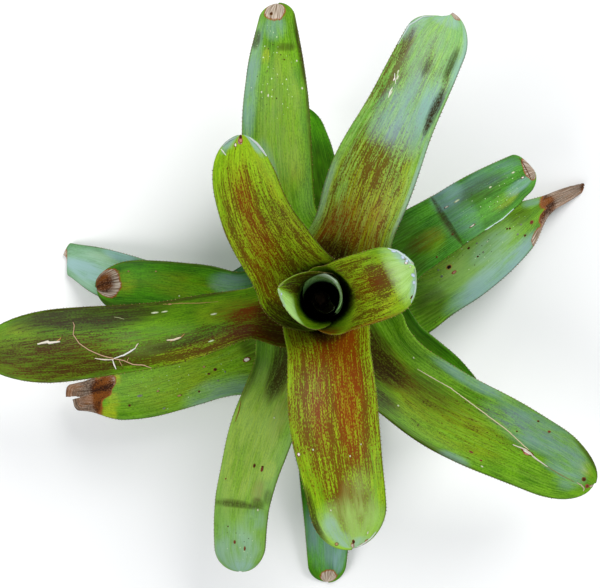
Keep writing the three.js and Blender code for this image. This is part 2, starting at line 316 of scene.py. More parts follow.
def shape_rows(leaf, rows):
    """Adds each row's directions and its channel, and what has happened to this leaf."""
    at = rows["at"]
    share = rows["share"]

    def grown(from_share):
        """From 0 at a share of the blade's length to 1 at its tip."""
        return np.clip((share - from_share) / (1 - from_share), 0, 1)

    for dip_share, depth, half_length in leaf.get("dips", ()):
        away = (rows["past"] - dip_share * rows["past"][-1]) / half_length
        at[:, 2] -= depth * np.exp(-away ** 2)
    around = np.clip(np.arange(len(at))[:, None] + [-1, 1], 0, len(at) - 1)
    along = unit(at[around[:, 1]] - at[around[:, 0]])
    up = np.array([0, 0, 1.0])
    across = np.cross(up, along) + STEEP_GUARD * unit(np.cross(up, at))
    across -= along * (across * along).sum(1, keepdims=True)
    across = unit(across)
    inward = np.cross(along, across)
    first, last = np.radians(leaf["channel"])
    half = first + (last - first) * share
    for curl_share, curl_deg in leaf.get("curl", ()):
        half += np.radians(curl_deg) * grown(curl_share) ** 1.5
    for twist_share, twist_deg in leaf.get("twist", ()):
        turn = np.radians(twist_deg) * grown(twist_share)[:, None]
        across, inward = (across * np.cos(turn) + inward * np.sin(turn),
                          inward * np.cos(turn) - across * np.sin(turn))
    ends = {name: sum((most * grown(from_share) for from_share, most in leaf.get(name, ())),
                      np.zeros(len(at)))
            for name in ("skew", "fork", "crumple")}
    margins = {1: np.ones(len(at)), -1: np.ones(len(at))}
    for side, bite_share, depth, half_length in leaf.get("bites", ()):
        margins[side] -= depth * np.clip(1 - np.abs(share - bite_share) / half_length, 0, 1)
    rows.update(across=across, inward=inward, half=half, left=margins[1], right=margins[-1],
                skew=along * ends["skew"][:, None], fork=along * ends["fork"][:, None],
                crumple=ends["crumple"])
    return rows


def new_tree(name, start, sizes, result):
    """A node tree that takes a geometry, named sizes and a material and gives a geometry,
    with the function that adds its nodes and its inputs' sockets."""
    tree = bpy.data.node_groups.new(name, "GeometryNodeTree")
    for given, value in ((start, "Geometry"), *sizes.items(), ("Material", "Material")):
        kind = {int: "Int", float: "Float"}.get(type(value), value)
        socket = tree.interface.new_socket(given, in_out="INPUT", socket_type="NodeSocket" + kind)
        if kind != value:
            socket.default_value = value
    tree.interface.new_socket(result, in_out="OUTPUT", socket_type="NodeSocketGeometry")
    node = partial(add_node, tree)
    return tree, node, node("NodeGroupInput").outputs


def end_tree(node, given, geometry, result):
    """Ends a node tree with real geometry that has the given material."""
    real = node("RealizeInstances", [geometry])
    made = node("SetMaterial", {"Geometry": real, "Material": given["Material"]})
    node("NodeGroupOutput", {result: made})


def strap_leaf_tree():
    """Node tree that spreads a leaf's surface over its line, gives it two faces that meet in
    thin rounded margins, and closes it. In the sheath a section is part of a ring round the
    plant's axis, and in the blade it is an open channel."""
    tree, node, given = new_tree("strap_leaf", "Line", {
        "Rows": 100, "Columns": COLUMNS, "Widest wrap": math.radians(WIDEST_WRAP_DEG),
        "Midrib thickness": MIDRIB_THICKNESS * MM, "Margin thickness": MARGIN_THICKNESS * MM,
        "Sheath thickness": SHEATH_THICKNESS * MM, "Wave height": WAVE_HEIGHT * MM,
        "Wave length": WAVE_LENGTH * MM, "Wave start": 0.0, "Lump height": LUMP_HEIGHT * MM,
        "Lump size": LUMP_SIZE * MM, "Seed": 0}, "Leaf")
    here = node("InputPosition")
    normal = node("InputNormal")

    # A plain grid with its vertices one unit apart, so that its places give row and column.
    last_row = node("SUBTRACT", [given["Rows"], 1.0])
    last_column = node("SUBTRACT", [given["Columns"], 1.0])
    grid = node("MeshGrid", [last_row, last_column, given["Rows"], given["Columns"]])
    spot = node("SeparateXYZ", [here]).outputs
    row = node("ROUND", [node("MULTIPLY_ADD", [last_row, 0.5, spot["X"]])])
    v = node("DIVIDE", [spot["Y"], node("MULTIPLY", [last_column, 0.5])])
    line = {"at": node("SampleIndex", [given["Line"], here, row], data_type="FLOAT_VECTOR")}
    for name in ROW_NUMBERS + ROW_VECTORS:
        kind = "FLOAT" if name in ROW_NUMBERS else "FLOAT_VECTOR"
        field = node("InputNamedAttribute", {"Name": name}, data_type=kind)
        line[name] = node("SampleIndex", [given["Line"], field, row], data_type=kind)

    # How far each vertex reaches to its side: v, less where the margin is torn or bitten.
    side = node("SIGN", [v])
    on_left = node("GREATER_THAN", [v, 0.0])
    whole = node("Mix", [on_left, line["right"], line["left"]])
    out = node("MULTIPLY", [v, whole])

    # The ring: the line's point turned about the plant's axis.
    flat = node("VectorMath", [line["at"], (1.0, 1.0, 0.0)], operation="MULTIPLY")
    reach = node("VectorMath", [flat], operation="LENGTH")
    half_width = node("MULTIPLY", [line["width"], 0.5])
    wrap = node("DIVIDE", [half_width, reach])
    wrap = node("MINIMUM", [wrap, given["Widest wrap"]])
    turn = node("MULTIPLY", [out, wrap])
    ring = node("VectorRotate", {"Vector": line["at"], "Angle": turn}, rotation_type="Z_AXIS")

    # The channel: an arc square to the line, whose margins also wave a little.
    radius = node("DIVIDE", [half_width, line["half"]])
    arc = node("MULTIPLY", [line["half"], out])
    sideways = node("MULTIPLY", [radius, node("SINE", [arc])])
    sagitta = node("SUBTRACT", [1.0, node("COSINE", [arc])])
    rise = node("MULTIPLY", [radius, sagitta])
    wave = node("DIVIDE", [line["past"], given["Wave length"]])
    wave = node("MULTIPLY_ADD", [wave, 2 * math.pi, given["Wave start"]])
    wave = node("SINE", [node("MULTIPLY_ADD", [side, WAVE_LAG, wave])])
    for amount in (node("MULTIPLY", [out, out]), line["share"]):
        wave = node("MULTIPLY", [wave, amount])
    rise = node("MULTIPLY_ADD", [wave, given["Wave height"], rise])
    channel = line["at"]
    for direction, amount in (("across", sideways), ("inward", rise)):
        shift = node("VectorMath", [line[direction], amount], operation="SCALE")
        channel = node("VectorMath", [channel, shift], operation="ADD")
    opened = node("MapRange", [line["past"], CHANNEL_FROM * MM, CHANNEL_UNTIL * MM],
                  interpolation_type="SMOOTHSTEP")
    place = node("Mix", [opened, ring, channel], data_type="VECTOR")

    # A skewed end reaches further at one margin, and a forked one less far in the middle.
    v_squared = node("MULTIPLY", [v, v])
    short = node("SUBTRACT", [v_squared, 1.0])
    for direction, amount in (("skew", v), ("fork", short)):
        shift = node("VectorMath", [line[direction], amount], operation="SCALE")
        place = node("VectorMath", [place, shift], operation="ADD")

    # Half the thickness: least at the margins, and nothing at the very edge and at the two
    # ends, where the two faces meet.
    thick = node("Mix", [v_squared, given["Midrib thickness"], given["Margin thickness"]])
    thick = node("Mix", [opened, given["Sheath thickness"], thick])
    from_middle = node("DIVIDE", [row, last_row])
    from_middle = node("ABSOLUTE", [node("MULTIPLY_ADD", [from_middle, 2.0, -1.0])])
    for way_out, sharpness in ((v_squared, MARGIN_SHARPNESS), (from_middle, END_SHARPNESS)):
        edge = node("SUBTRACT", [1.0, node("POWER", [way_out, sharpness])])
        thick = node("MULTIPLY", [thick, node("SQRT", [edge])])
    half_thick = node("MULTIPLY", [thick, 0.5])

    # What the finish needs to know of each vertex is stored on the grid, then it is bent.
    leaf = grid
    known = dict(share=line["share"], v=v, wide=line["width"], past=line["past"],
                 crumple=line["crumple"], half_thickness=half_thick)
    for name, value in known.items():
        leaf = node("StoreNamedAttribute", {"Geometry": leaf, "Name": name, "Value": value})
    leaf = node("SetPosition", {"Geometry": leaf, "Position": place})

    # The whole leaf is a little lumpy, and dead tissue is crumpled too, three times as finely.
    lump_place = node("VectorMath", [here, given["Lump size"]], operation="DIVIDE")
    crumple, half_thickness = (node("InputNamedAttribute", {"Name": name})
                               for name in ("crumple", "half_thickness"))
    lump = 0.0
    for scale, detail, height in ((1.0, 1.0, given["Lump height"]), (3.0, 2.0, crumple)):
        noise = node("TexNoise", {
            "Vector": lump_place, "W": given["Seed"], "Scale": scale, "Detail": detail},
            noise_dimensions="4D")
        lump = node("MULTIPLY_ADD", [node("SUBTRACT", [noise, 0.5]), height, lump])
    lump = node("VectorMath", [normal, lump], operation="SCALE")
    leaf = node("SetPosition", {"Geometry": leaf, "Offset": lump})
    both = node("JoinGeometry")
    for sign in (-1.0, 1.0):
        offset = node("MULTIPLY", [half_thickness, sign])
        offset = node("VectorMath", [normal, offset], operation="SCALE")
        face = node("SetPosition", {"Geometry": leaf, "Offset": offset})
        face = node("StoreNamedAttribute", {
            "Geometry": face, "Name": "under", "Value": 0.5 - 0.5 * sign}, domain="FACE")
        if sign < 0:
            face = node("FlipFaces", [face])
        tree.links.new(face.outputs[0], both.inputs[0])
    closed = node("MergeByDistance", {"Geometry": both, "Distance": MERGE_DISTANCE * MM})
    end_tree(node, given, node("SetShadeSmooth", [closed]), "Leaf")
    return tree


def store(mesh, carried):
    """Has a mesh's points carry these named numbers, vectors or colours."""
    for name, values in carried.items():
        values = np.asarray(values, np.float32).reshape(len(mesh.vertices), -1)
        kind, field = {1: ("FLOAT", "value"), 3: ("FLOAT_VECTOR", "vector"),
                       4: ("FLOAT_COLOR", "color")}[values.shape[1]]
        mesh.attributes.new(name, kind, "POINT").data.foreach_set(field, values.ravel())


def grow(name, places, edges, carried, tree, inputs):
    """Makes a piece as a plain mesh with a node tree, from points that carry named numbers,
    vectors or colours. The modifier's inputs are set by their sockets' identifiers."""
    mesh = bpy.data.meshes.new(name)
    mesh.from_pydata(places, edges, [])
    store(mesh, carried)
    piece = add_object(name, mesh)
    modifier = piece.modifiers.new(name, "NODES")
    modifier.node_group = tree
    for item in tree.interface.items_tree:
        if item.item_type == "SOCKET" and item.in_out == "INPUT" and item.name in inputs:
            modifier[item.identifier] = inputs[item.name]
    depsgraph = bpy.context.evaluated_depsgraph_get()
    made = bpy.data.meshes.new_from_object(
        piece.evaluated_get(depsgraph), preserve_all_data_layers=True, depsgraph=depsgraph)
    piece.modifiers.clear()
    piece.data = made
    return piece


def read_values(mesh, *names):
    """The numbers that a mesh's points carry under these names."""
    found = []
    for name in names:
        found.append(np.zeros(len(mesh.vertices), np.float32))
        mesh.attributes[name].data.foreach_get("value", found[-1])
    return found


MARKS = ("streaks", "rust", "shade", "bloom", "pale", "yellow", "dry", "char", "specks")
MARK_SOFTNESS = 0.6
# Painted shade on the inner faces deep in the tube starts this many mm past the shoulder, and is
# full this many mm further down.
TUBE_SHADE_END = -8
TUBE_SHADE_FADE = 16


def mark_leaf(mesh, leaf):
    """Stores how strongly each mark shows at each vertex. A mark is a few oval patches on the
    blade: (share of its length, v across, half length in mm, half width in v, strength)."""
    v, past, wide = read_values(mesh, "v", "past", "wide")
    past = past / MM
    found = {name: np.zeros(len(v)) for name in MARKS}
    for name in MARKS:
        for at_share, at_v, half_length, half_width, strength in leaf.get(name, ()):
            along = (past - at_share * past.max()) / half_length
            away = np.hypot(along, (v - at_v) / half_width)
            inside = np.clip((1 - away) / MARK_SOFTNESS, 0, 1)
            found[name] += strength * inside * inside * (3 - 2 * inside)
    found["margin"] = (1 - np.abs(v)) * wide / MM / 2
    # How much painted shade the dark inside of the tube puts on each vertex.
    found["tank"] = np.clip((leaf.get("tank", TUBE_SHADE_END) - past) / TUBE_SHADE_FADE, 0, 1)
    store(mesh, found)
    # The leaf's own map, in millimetres. Across it follows the veins, which close up at the tip.
    corners = np.zeros(len(mesh.loops), np.int32)
    mesh.loops.foreach_get("vertex_index", corners)
    across = v * max(width for _, width in leaf["widths"]) / 2
    places = np.stack([across, past], 1)[corners]
    layer = mesh.uv_layers.new(name="leaf_mm", do_init=False)
    layer.uv.foreach_set("vector", places.astype(np.float32).ravel())


leaf_tree = strap_leaf_tree()
grown_leaves = {}


def grow_leaf(name, tissue, **leaf):
    """Makes one leaf, and puts it in place of its plain solid. Its rank in the spiral, from 0
    at the heart, is one less than its number. Its line's knots are (bearing, reach, height).
    A width, or anything that has happened to the leaf, starts with a share of its length."""
    number = int(name[5:7])
    rank = number - 1
    rows = shape_rows(leaf, leaf_line(leaf, rank))
    count = len(rows["at"])
    carried = {name: rows[name] * (MM if name in ROW_LENGTHS else 1)
               for name in ROW_NUMBERS + ROW_VECTORS}
    wrap = max(NARROWEST_WRAP_DEG, WIDEST_WRAP_DEG - WRAP_STEP_DEG * (rank - FIRST_WALL_RANK))
    material, slot = tissue
    piece = grow(name + "_skin", rows["at"] * MM, chain(0, count), carried, leaf_tree, {
        "Rows": count, "Columns": COLUMNS, "Widest wrap": math.radians(wrap),
        "Wave start": float(rank), "Seed": rank, "Material": material})
    mark_leaf(piece.data, leaf)
    finish_piece(piece, material, slot, name)
    grown_leaves[number] = piece.data, leaf


def leaf_tissue(name, slot, young, old, light, pale, streak, rust, under):
    """Living bromeliad leaf: a smooth waxy cuticle over tissue with fine lengthwise veins, so
    that its soft shine is finely ribbed. Gives the material, and the name of its slot."""
    material, node = new_material(name)
    place = node("UVMap", uv_map="leaf_mm")
    marks = {mark: node("Attribute", attribute_name=mark).outputs["Fac"]
             for mark in MARKS + ("margin", "under", "tank")}

    # Patterns stretched along the leaf: the size across and along it in millimetres, the
    # detail, and a shift that keeps them apart.
    patterns = {
        "veins": (0.9, 60, 1.0, 0.0),
        "clouds": (9, 26, 2.0, 7.3),
        "lanes": (4, 90, 1.0, 3.1),
        "dashes": (1.0, 14, 1.0, 5.7),
        "grains": (0.62, 1.5, 2.0, 9.2),
        "hairs": (0.55, 8, 2.0, 4.4),
        "bands": (30, 2.2, 2.0, 1.7),
    }
    for name, (across_mm, along_mm, detail, shift) in patterns.items():
        vector = node("Mapping", {
            "Vector": place, "Location": (shift, shift, shift),
            "Scale": (1 / across_mm, 1 / along_mm, 1.0)})
        patterns[name] = node("TexNoise", {
            "Vector": vector, "Scale": 1.0, "Detail": detail, "Roughness": 0.55},
            noise_dimensions="2D")
    veins, clouds, lanes, dashes, grains, hairs, bands = patterns.values()
    brushed = node("MULTIPLY_ADD", [dashes, 0.5, clouds])
    brushed = node("MapRange", [brushed, 0.55, 0.95, 0.3, 1.25])

    patchy = node("MapRange", [clouds, 0.35, 0.65])
    yellowed = node("MULTIPLY", [marks["yellow"], brushed], use_clamp=True)
    striped = node("MapRange", [veins, 0.4, 0.65, 0.0, 0.4])
    mottled = node("MapRange", [node("ADD", [hairs, grains]), 0.78, 1.12, 0.48, 0.0])
    layers = [(patchy, old), (yellowed, "#a0b418"), (striped, light), (mottled, "#1a3406")]

    # Streaks: fine broken lines along the leaf, which gather in lanes and fill up with rust.
    tangle = 0.0
    for pattern, part in ((lanes, 0.4), (dashes, 0.7), (grains, 1.1)):
        tangle = node("MULTIPLY_ADD", [pattern, part, tangle])
    low = node("MULTIPLY_ADD", [marks["streaks"], -0.45, 1.4])
    high = node("ADD", [low, 0.14])
    streaked = node("MapRange", [tangle, low, high, 0.0, 0.85], interpolation_type="SMOOTHSTEP")
    broken = node("MapRange", [tangle, 0.9, 1.2, 0.3, 1.15])
    flush = node("MINIMUM", [node("MULTIPLY", [marks["rust"], broken]), 0.95])
    # Even on rust the lines stay the darker.
    line_colour = node("Mix", [node("MULTIPLY", [flush, 0.5]), streak, rust], data_type="RGBA")
    layers += [(flush, rust), (streaked, line_colour)]

    # Pale tissue, in places also painted light, and the grey-blue bloom of wax, which also holds
    # painted sheen for the sky's reflection in the wax, are brushed on along the veins. Dark
    # brown, also painted shade in the creases and deep in the tube, is broken up like rust. Each
    # comes on softly, and levels off before it hides all.
    for mark, tint, most, texture in (("pale", pale, 1.2, brushed),
                                      ("bloom", "#90b0b8", 0.9, brushed),
                                      ("shade", "#2c2004", 1.3, broken)):
        amount = node("MULTIPLY", [marks[mark], texture])
        amount = node("DIVIDE", [amount, node("ADD", [amount, 0.6])])
        layers.append((node("MULTIPLY", [amount, most]), tint))

    # Deep in the tube the inner face of the sheaths is painted almost black: painted shade for
    # the dark inside of the tube. The underside is paler and dusty, with faint bands across it.
    inner = node("SUBTRACT", [1.0, marks["under"]])
    painted_tube_shade = node("MULTIPLY", [marks["tank"], inner])
    dust = node("MapRange", [bands, 0.35, 0.65, 0.35, 0.75])
    dust = node("MULTIPLY", [dust, marks["under"]])

    # A thin brown line runs along each margin, and pale scales and dark spots a millimetre
    # or less across are scattered over the face.
    rim = node("MapRange", [marks["margin"], 0.2, 0.9, 0.45, 0.0])
    rim = node("MULTIPLY", [rim, grains])
    cells = node("TexVoronoi", {"Vector": place, "Scale": 0.28}, voronoi_dimensions="2D")
    chance = node("SeparateColor", [cells.outputs["Color"]]).outputs
    size = node("MULTIPLY_ADD", [chance["Red"], 0.22, -0.09])
    size = node("MULTIPLY", [size, marks["specks"]])
    spot = node("LESS_THAN", [cells, size])
    is_dark = node("GREATER_THAN", [chance["Green"], 0.6])
    spot_colour = node("Mix", [is_dark, "#c4d6a8", "#3b2a12"], data_type="RGBA")

    # Dead tissue: papery and tan with wrinkles, or charred dark brown, with an orange line
    # where it meets the green.
    fray = node("SUBTRACT", [node("ADD", [grains, clouds]), 1.0])
    dead = node("MULTIPLY_ADD", [fray, 0.6, marks["dry"]])
    seam = node("MapRange", [dead, 0.26, 0.4])
    is_dead = node("MapRange", [dead, 0.46, 0.58])
    wrinkles = node("MapRange", [dashes, 0.36, 0.64])
    scorch = node("MapRange", [fray, -0.16, 0.16])
    scorched = node("Mix", [scorch, "#2e160a", "#7a4414"], data_type="RGBA")
    charred = node("MapRange", [grains, 0.35, 0.65, 1.4, 0.75])
    charred = node("MULTIPLY", [charred, marks["char"]], use_clamp=True)
    papery = node("Mix", [wrinkles, "#74604a", "#c8baa8"], data_type="RGBA")
    papery = node("Mix", [charred, papery, scorched], data_type="RGBA")
    layers += [(painted_tube_shade, "#050703"), (dust, under), (rim, "#6e6428"), (spot, spot_colour),
               (seam, "#8a4a16"), (is_dead, papery)]
    colour = young
    for amount, tint in layers:
        colour = node("Mix", [amount, colour, tint], data_type="RGBA")

    gloss = node("MapRange", [veins, 0.0, 1.0, 0.34, 0.5])
    gloss = node("Mix", [is_dead, gloss, 0.85])
    relief = node("MULTIPLY_ADD", [is_dead, dashes, veins])
    bump = node("Bump", {"Height": relief, "Strength": 0.35, "Distance": 0.00016})
    shader = node("BsdfPrincipled", {
        "Base Color": colour, "Roughness": gloss, "IOR": 1.45, "Specular IOR Level": 0.12,
        "Normal": bump})
    node("OutputMaterial", {"Surface": shader})
    return material, slot


deep_tissue = leaf_tissue(
    "shaded_leaf_tissue", "leaf_deep", young="#4a9206", old="#2f6c04", light="#62a018",
    pale="#8ab66a", streak="#2c2404", rust="#6a4410", under="#86a078")
green_tissue = leaf_tissue(
    "grown_leaf_tissue", "leaf_green", young="#68a010", old="#4e840c", light="#86b436",
    pale="#98c46a", streak="#3c3008", rust="#7a4410", under="#8fa880")
pale_tissue = leaf_tissue(
    "pale_leaf_tissue", "leaf_pale", young="#6a9c6a", old="#4f8550", light="#86b48c",
    pale="#9cc0a8", streak="#4a4a18", rust="#7a5c30", under="#96ae90")

grow_leaf(
    "leaf_19_front_low", deep_tissue, bearing=274, sheath=68, tip=14, channel=(34, 12),
    line=[(273, 58, 26), (272, 100, 24), (272, 148, 14), (271.5, 193, 0.8)],
    widths=[(0.25, 40), (0.6, 34), (1, 24)], dry=[(1, 0.1, 12, 0.9, 1.3)],
    bloom=[(0.88, 0.6, 14, 0.4, 0.6), (0.75, 0, 34, 1.3, 0.4)])
grow_leaf(
    "leaf_18_left_low", pale_tissue, bearing=184, sheath=68, tip=3, channel=(34, 8),
    line=[(184, 58, 30), (178, 100, 28), (173.4, 140, 18), (170.8, 174.5, 1.5)],
    widths=[(0.1, 42), (0.25, 37), (0.6, 35), (0.8, 31), (1, 20)], skew=[(0.7, -2.5)],
    bloom=[(0.88, 0.2, 24, 0.6, 1.1), (0.7, -0.9, 16, 0.3, 0.7)],
    pale=[(0.85, 0.1, 34, 1.2, 0.8)], yellow=[(0.8, -0.6, 16, 0.3, 0.2)],
    dry=[(1, 0, 1.2, 2, 0.6)])
grow_leaf(
    "leaf_17_right_low", green_tissue, bearing=356, sheath=70, tip=4, channel=(36, 14),
    line=[(359, 56, 35), (8.5, 88, 36), (18, 127, 28), (22.4, 159.5, 17), (23.2, 196, 1.5)],
    widths=[(0.2, 38.5), (0.5, 37.5), (0.66, 31), (0.76, 13), (1, 7)], twist=[(0.8, 45)],
    crumple=[(0.68, 3.2)], yellow=[(0.26, 0.5, 22, 0.5, 0.8), (0.4, 0.75, 14, 0.25, 0.5)],
    bloom=[(0.43, -0.75, 44, 0.6, 1.3), (0.48, 0.1, 22, 0.5, 0.35), (0.74, 0.7, 10, 0.4, 0.4)],
    # The wide pale wash is painted light, lifting a leaf that lies in the shade of those above.
    pale=[(0.4, 0.1, 50, 0.9, 0.6)],
    shade=[(0.16, -0.3, 14, 0.6, 0.35), (0.66, 0.35, 12, 0.5, 0.3)],
    dry=[(0.93, 0, 34, 2.5, 1.5), (0.66, -1, 10, 0.35, 1.2), (0.75, -0.8, 9, 0.6, 1)],
    char=[(0.79, 0, 10, 1.6, 0.6), (0.72, -0.6, 9, 0.5, 0.7), (0.95, 0, 50, 2.5, 0.42),
        (1, 0, 5, 2.5, 0.6)],
    specks=[(0.45, 0.4, 60, 1, 0.8)])
grow_leaf(
    "leaf_16_left_front_low", green_tissue, bearing=223, sheath=70, tip=5, channel=(36, 12),
    line=[(218, 56, 40), (210, 96, 42), (206, 135, 34), (201.5, 180, 17)],
    widths=[(0.25, 42), (0.6, 40), (0.78, 34), (0.85, 22), (1, 17)], fork=[(0.9, 9)],
    crumple=[(0.78, 2.4)], skew=[(0.8, -2)],
    yellow=[(0.79, 0.8, 7, 0.5, 1.5), (0.77, 0.3, 7, 0.5, 1.0), (0.73, -0.5, 5, 0.3, 0.8),
        (0.4, 0, 60, 1.3, 0.4)],
    bloom=[(0.28, 0.85, 30, 0.6, 0.35)], shade=[(0.08, -0.2, 12, 1, 0.5)],
    dry=[(0.95, 0, 24, 2.5, 1.5), (0.815, -0.2, 9, 0.45, 1.2), (0.79, -0.5, 10, 0.4, 1.4)],
    char=[(0.8, -0.3, 13, 0.9, 1.0), (0.83, 0.5, 8, 0.9, 0.8), (0.95, 0, 30, 2.5, 0.65)],
    specks=[(0.45, 0.2, 60, 1.2, 0.6)])
grow_leaf(
    "leaf_15_back_low", deep_tissue, bearing=93, sheath=70, tip=18, channel=(40, 16),
    line=[(94, 50, 45), (96, 88, 49), (97, 126, 36)],
    widths=[(0.25, 40), (0.6, 37), (1, 24)], shade=[(0.3, 0, 50, 1.2, 0.35)])
grow_leaf(
    "leaf_14_front_right_low", deep_tissue, bearing=330, sheath=70, tip=18, channel=(40, 16),
    line=[(328, 52, 50), (325.5, 86, 54), (324, 122, 44)],
    widths=[(0.25, 42), (0.6, 40), (1, 28)], shade=[(0.3, 0, 50, 1.2, 0.35)])
grow_leaf(
    "leaf_13_left_mid", deep_tissue, bearing=186, sheath=70, tip=30, channel=(42, 26),
    line=[(182, 46, 54), (177.5, 78, 60), (176, 110, 57), (177.3, 144, 42)],
    widths=[(0.15, 36), (0.35, 41), (0.6, 36), (1, 33)], curl=[(0.8, 35)], crumple=[(0.86, 0.8)],
    shade=[(0.7, 0.9, 45, 0.4, 0.6), (0.5, -1, 60, 0.12, 0.5)], bloom=[(0.2, -0.5, 18, 0.5, 0.5)],
    yellow=[(0.8, -0.15, 11, 0.6, 0.7), (0.45, -0.2, 44, 0.6, 0.3)],
    dry=[(0.935, -0.25, 15, 0.95, 1.6)], char=[(0.955, -0.33, 13, 0.85, 1.05)])

# ---- Green leaves ----
# Long, fully grown leaves from halfway up the spiral. They arch out past most of the streaked
# ones, and two of them have been folded and have kept the crease.

cool_tissue = leaf_tissue(
    "cool_leaf_tissue", "leaf_green", young="#4c9418", old="#347414", light="#6cb04a",
    pale="#84b488", streak="#2c2404", rust="#6a4410", under="#86a488")

grow_leaf(
    "leaf_12_right", cool_tissue, bearing=24, sheath=72, tip=11, channel=(42, 16),
    line=[(31, 48.5, 62), (32, 88, 74), (32, 112, 73), (31, 156.5, 56)],
    widths=[(0.2, 43), (0.33, 41), (0.45, 37.5), (0.65, 35.5), (1, 31)], dips=[(0.47, 2.2, 5)],
    bites=[(-1, 0.86, 0.2, 0.16), (-1, 1.0, 0.45, 0.16)],
    # The first shade mark darkens the crease: painted shade.
    shade=[(0.46, 0, 2.5, 1.4, 1.2), (0.22, 0, 20, 1.4, 0.4), (0.68, 0.35, 26, 0.5, 0.35)],
    rust=[(0.33, -0.15, 17, 0.4, 0.45)],
    bloom=[(0.52, 0.7, 13, 0.5, 0.8), (0.54, 0, 12, 1.2, 0.25), (0.9, -0.3, 18, 0.35, 0.7),
        (0.75, 0.6, 34, 0.5, 0.25)],
    yellow=[(0.77, -0.45, 16, 0.35, 0.5), (0.35, -0.3, 12, 0.5, 0.35)],
    dry=[(1.0, 0.1, 9, 1.2, 1.4)], char=[(0.98, 0.1, 8, 1.2, 0.15)],
    specks=[(0.75, 0.1, 36, 1.1, 0.9)])
grow_leaf(
    "leaf_11_front_left", green_tissue, bearing=236, sheath=72, tip=24, channel=(42, 12),
    line=[(243, 47, 66), (245.3, 85.5, 73), (248.5, 131.5, 68), (250, 146, 64), (253.5, 182, 42)],
    widths=[(0.08, 44), (0.2, 42), (0.4, 41), (0.5, 37), (0.65, 34.8), (1, 31)],
    dips=[(0.665, 2.4, 5)],
    # The second shade mark darkens the crease: painted shade.
    shade=[(0.12, -0.15, 26, 0.4, 1.3), (0.665, -0.2, 2.8, 1.2, 0.8), (0.64, 0.55, 5, 0.3, 0.5),
        (0.6, 0.85, 6, 0.2, 0.4), (0.2, -0.95, 20, 0.2, 0.5)],
    rust=[(0.25, 0.4, 30, 0.4, 0.4), (0.14, 0, 16, 0.4, 0.4), (0.59, 0.45, 10, 0.3, 0.6)],
    # The first pale wash is painted light, lifting a leaf that lies low in shade.
    pale=[(0.5, 0, 100, 1.8, 0.32), (0.88, 0, 34, 1.3, 0.4)],
    yellow=[(0.42, -0.2, 60, 1.3, 1.0), (0.5, 0.65, 8, 0.3, 0.8)],
    bloom=[(0.9, -0.2, 30, 1.3, 0.4), (0.98, 0.2, 8, 1.2, 0.6), (0.72, 0.5, 10, 0.5, 0.2)],
    specks=[(0.85, 0, 26, 1.1, 0.9)])
grow_leaf(
    "leaf_10_back", green_tissue, bearing=108, sheath=72, tip=10, channel=(42, 16),
    line=[(114, 47, 76), (107.3, 89, 88), (102, 132, 86), (98.5, 184, 70)],
    widths=[(0.15, 38), (0.4, 43.5), (0.55, 42), (0.75, 34), (0.9, 25), (1, 18.5)],
    crumple=[(0.95, 0.7)], pale=[(0.55, -0.2, 50, 0.9, 0.15)],
    yellow=[(0.74, -0.25, 18, 0.45, 0.45), (0.6, -0.55, 18, 0.3, 0.35), (0.77, 0.4, 8, 0.2, 0.7),
        (0.4, -0.5, 30, 0.4, 0.4)],
    bloom=[(0.7, 0.85, 50, 0.35, 0.45), (0.9, 0.1, 12, 0.7, 0.3), (0.3, 0.4, 30, 0.4, 0.3)],
    shade=[(0.81, -0.4, 3.5, 0.5, 0.5), (0.8, -0.97, 30, 0.16, 1.4), (0.84, 0.9, 9, 0.25, 0.8),
        (0.55, -1, 50, 0.1, 0.7)],
    rust=[(0.45, 0, 60, 0.8, 0.2)], dry=[(1, 0.15, 15, 1.0, 1.35)],
    specks=[(0.72, 0.2, 46, 1.2, 1.1)])
grow_leaf(
    "leaf_09_front_right", green_tissue, bearing=320, sheath=74, tip=45, channel=(42, 14),
    line=[(313, 46, 82), (317.7, 92, 94), (322.9, 139.5, 88), (325.9, 205.5, 61)],
    widths=[(0.2, 49), (0.35, 52), (0.55, 50.5), (0.75, 45), (1, 39)],
    shade=[(0.11, -0.05, 32, 0.5, 1.8), (0.17, -0.7, 26, 0.4, 0.9), (0.35, -1, 50, 0.16, 0.4),
        (0.93, 0.97, 24, 0.16, 0.7), (0.3, 0.1, 30, 0.4, 0.3)],
    yellow=[(0.42, -0.3, 60, 0.7, 0.4), (0.94, 0.45, 8, 0.4, 0.75)],
    rust=[(0.35, 0, 60, 0.6, 0.22), (0.16, 0, 30, 0.5, 0.5)],
    bloom=[(0.9, 0, 14, 0.8, 0.3), (0.72, 0.55, 50, 0.6, 0.4), (0.42, 0.9, 34, 0.2, 0.4),
        (0.48, -0.95, 12, 0.15, 0.5), (0.85, -0.05, 18, 0.25, 0.3)],
    streaks=[(0.4, -0.1, 90, 1.2, 0.35), (0.72, 0.6, 60, 0.5, 0.3)],
    dry=[(1, -0.35, 3, 0.25, 1.2)])

# ---- Streaked leaves ----
# The young leaves round the tube, in full light: yellow-green under broken red-brown
# streaks that run their length and merge into rust along the middle.

sunned_tissue = leaf_tissue(
    "sunned_leaf_tissue", "leaf_streaked", young="#88bc10", old="#6aa408", light="#a6c824",
    pale="#a4cc6a", streak="#502804", rust="#8c4004", under="#8c9c62")
bloomed_tissue = leaf_tissue(
    "bloomed_leaf_tissue", "leaf_streaked", young="#88bc48", old="#68a83c", light="#a2c66e",
    pale="#8cbc88", streak="#54340a", rust="#884404", under="#8c9c72")
cup_tissue = leaf_tissue(
    "cup_leaf_tissue", "leaf_streaked", young="#7eae10", old="#609608", light="#a2c226",
    pale="#bce892", streak="#482404", rust="#763804", under="#8c9c62")
dark_tissue = leaf_tissue(
    "dark_leaf_tissue", "leaf_streaked", young="#5c9008", old="#4a7a04", light="#749c10",
    pale="#8ab45a", streak="#3c2800", rust="#5e2404", under="#7c8c52")

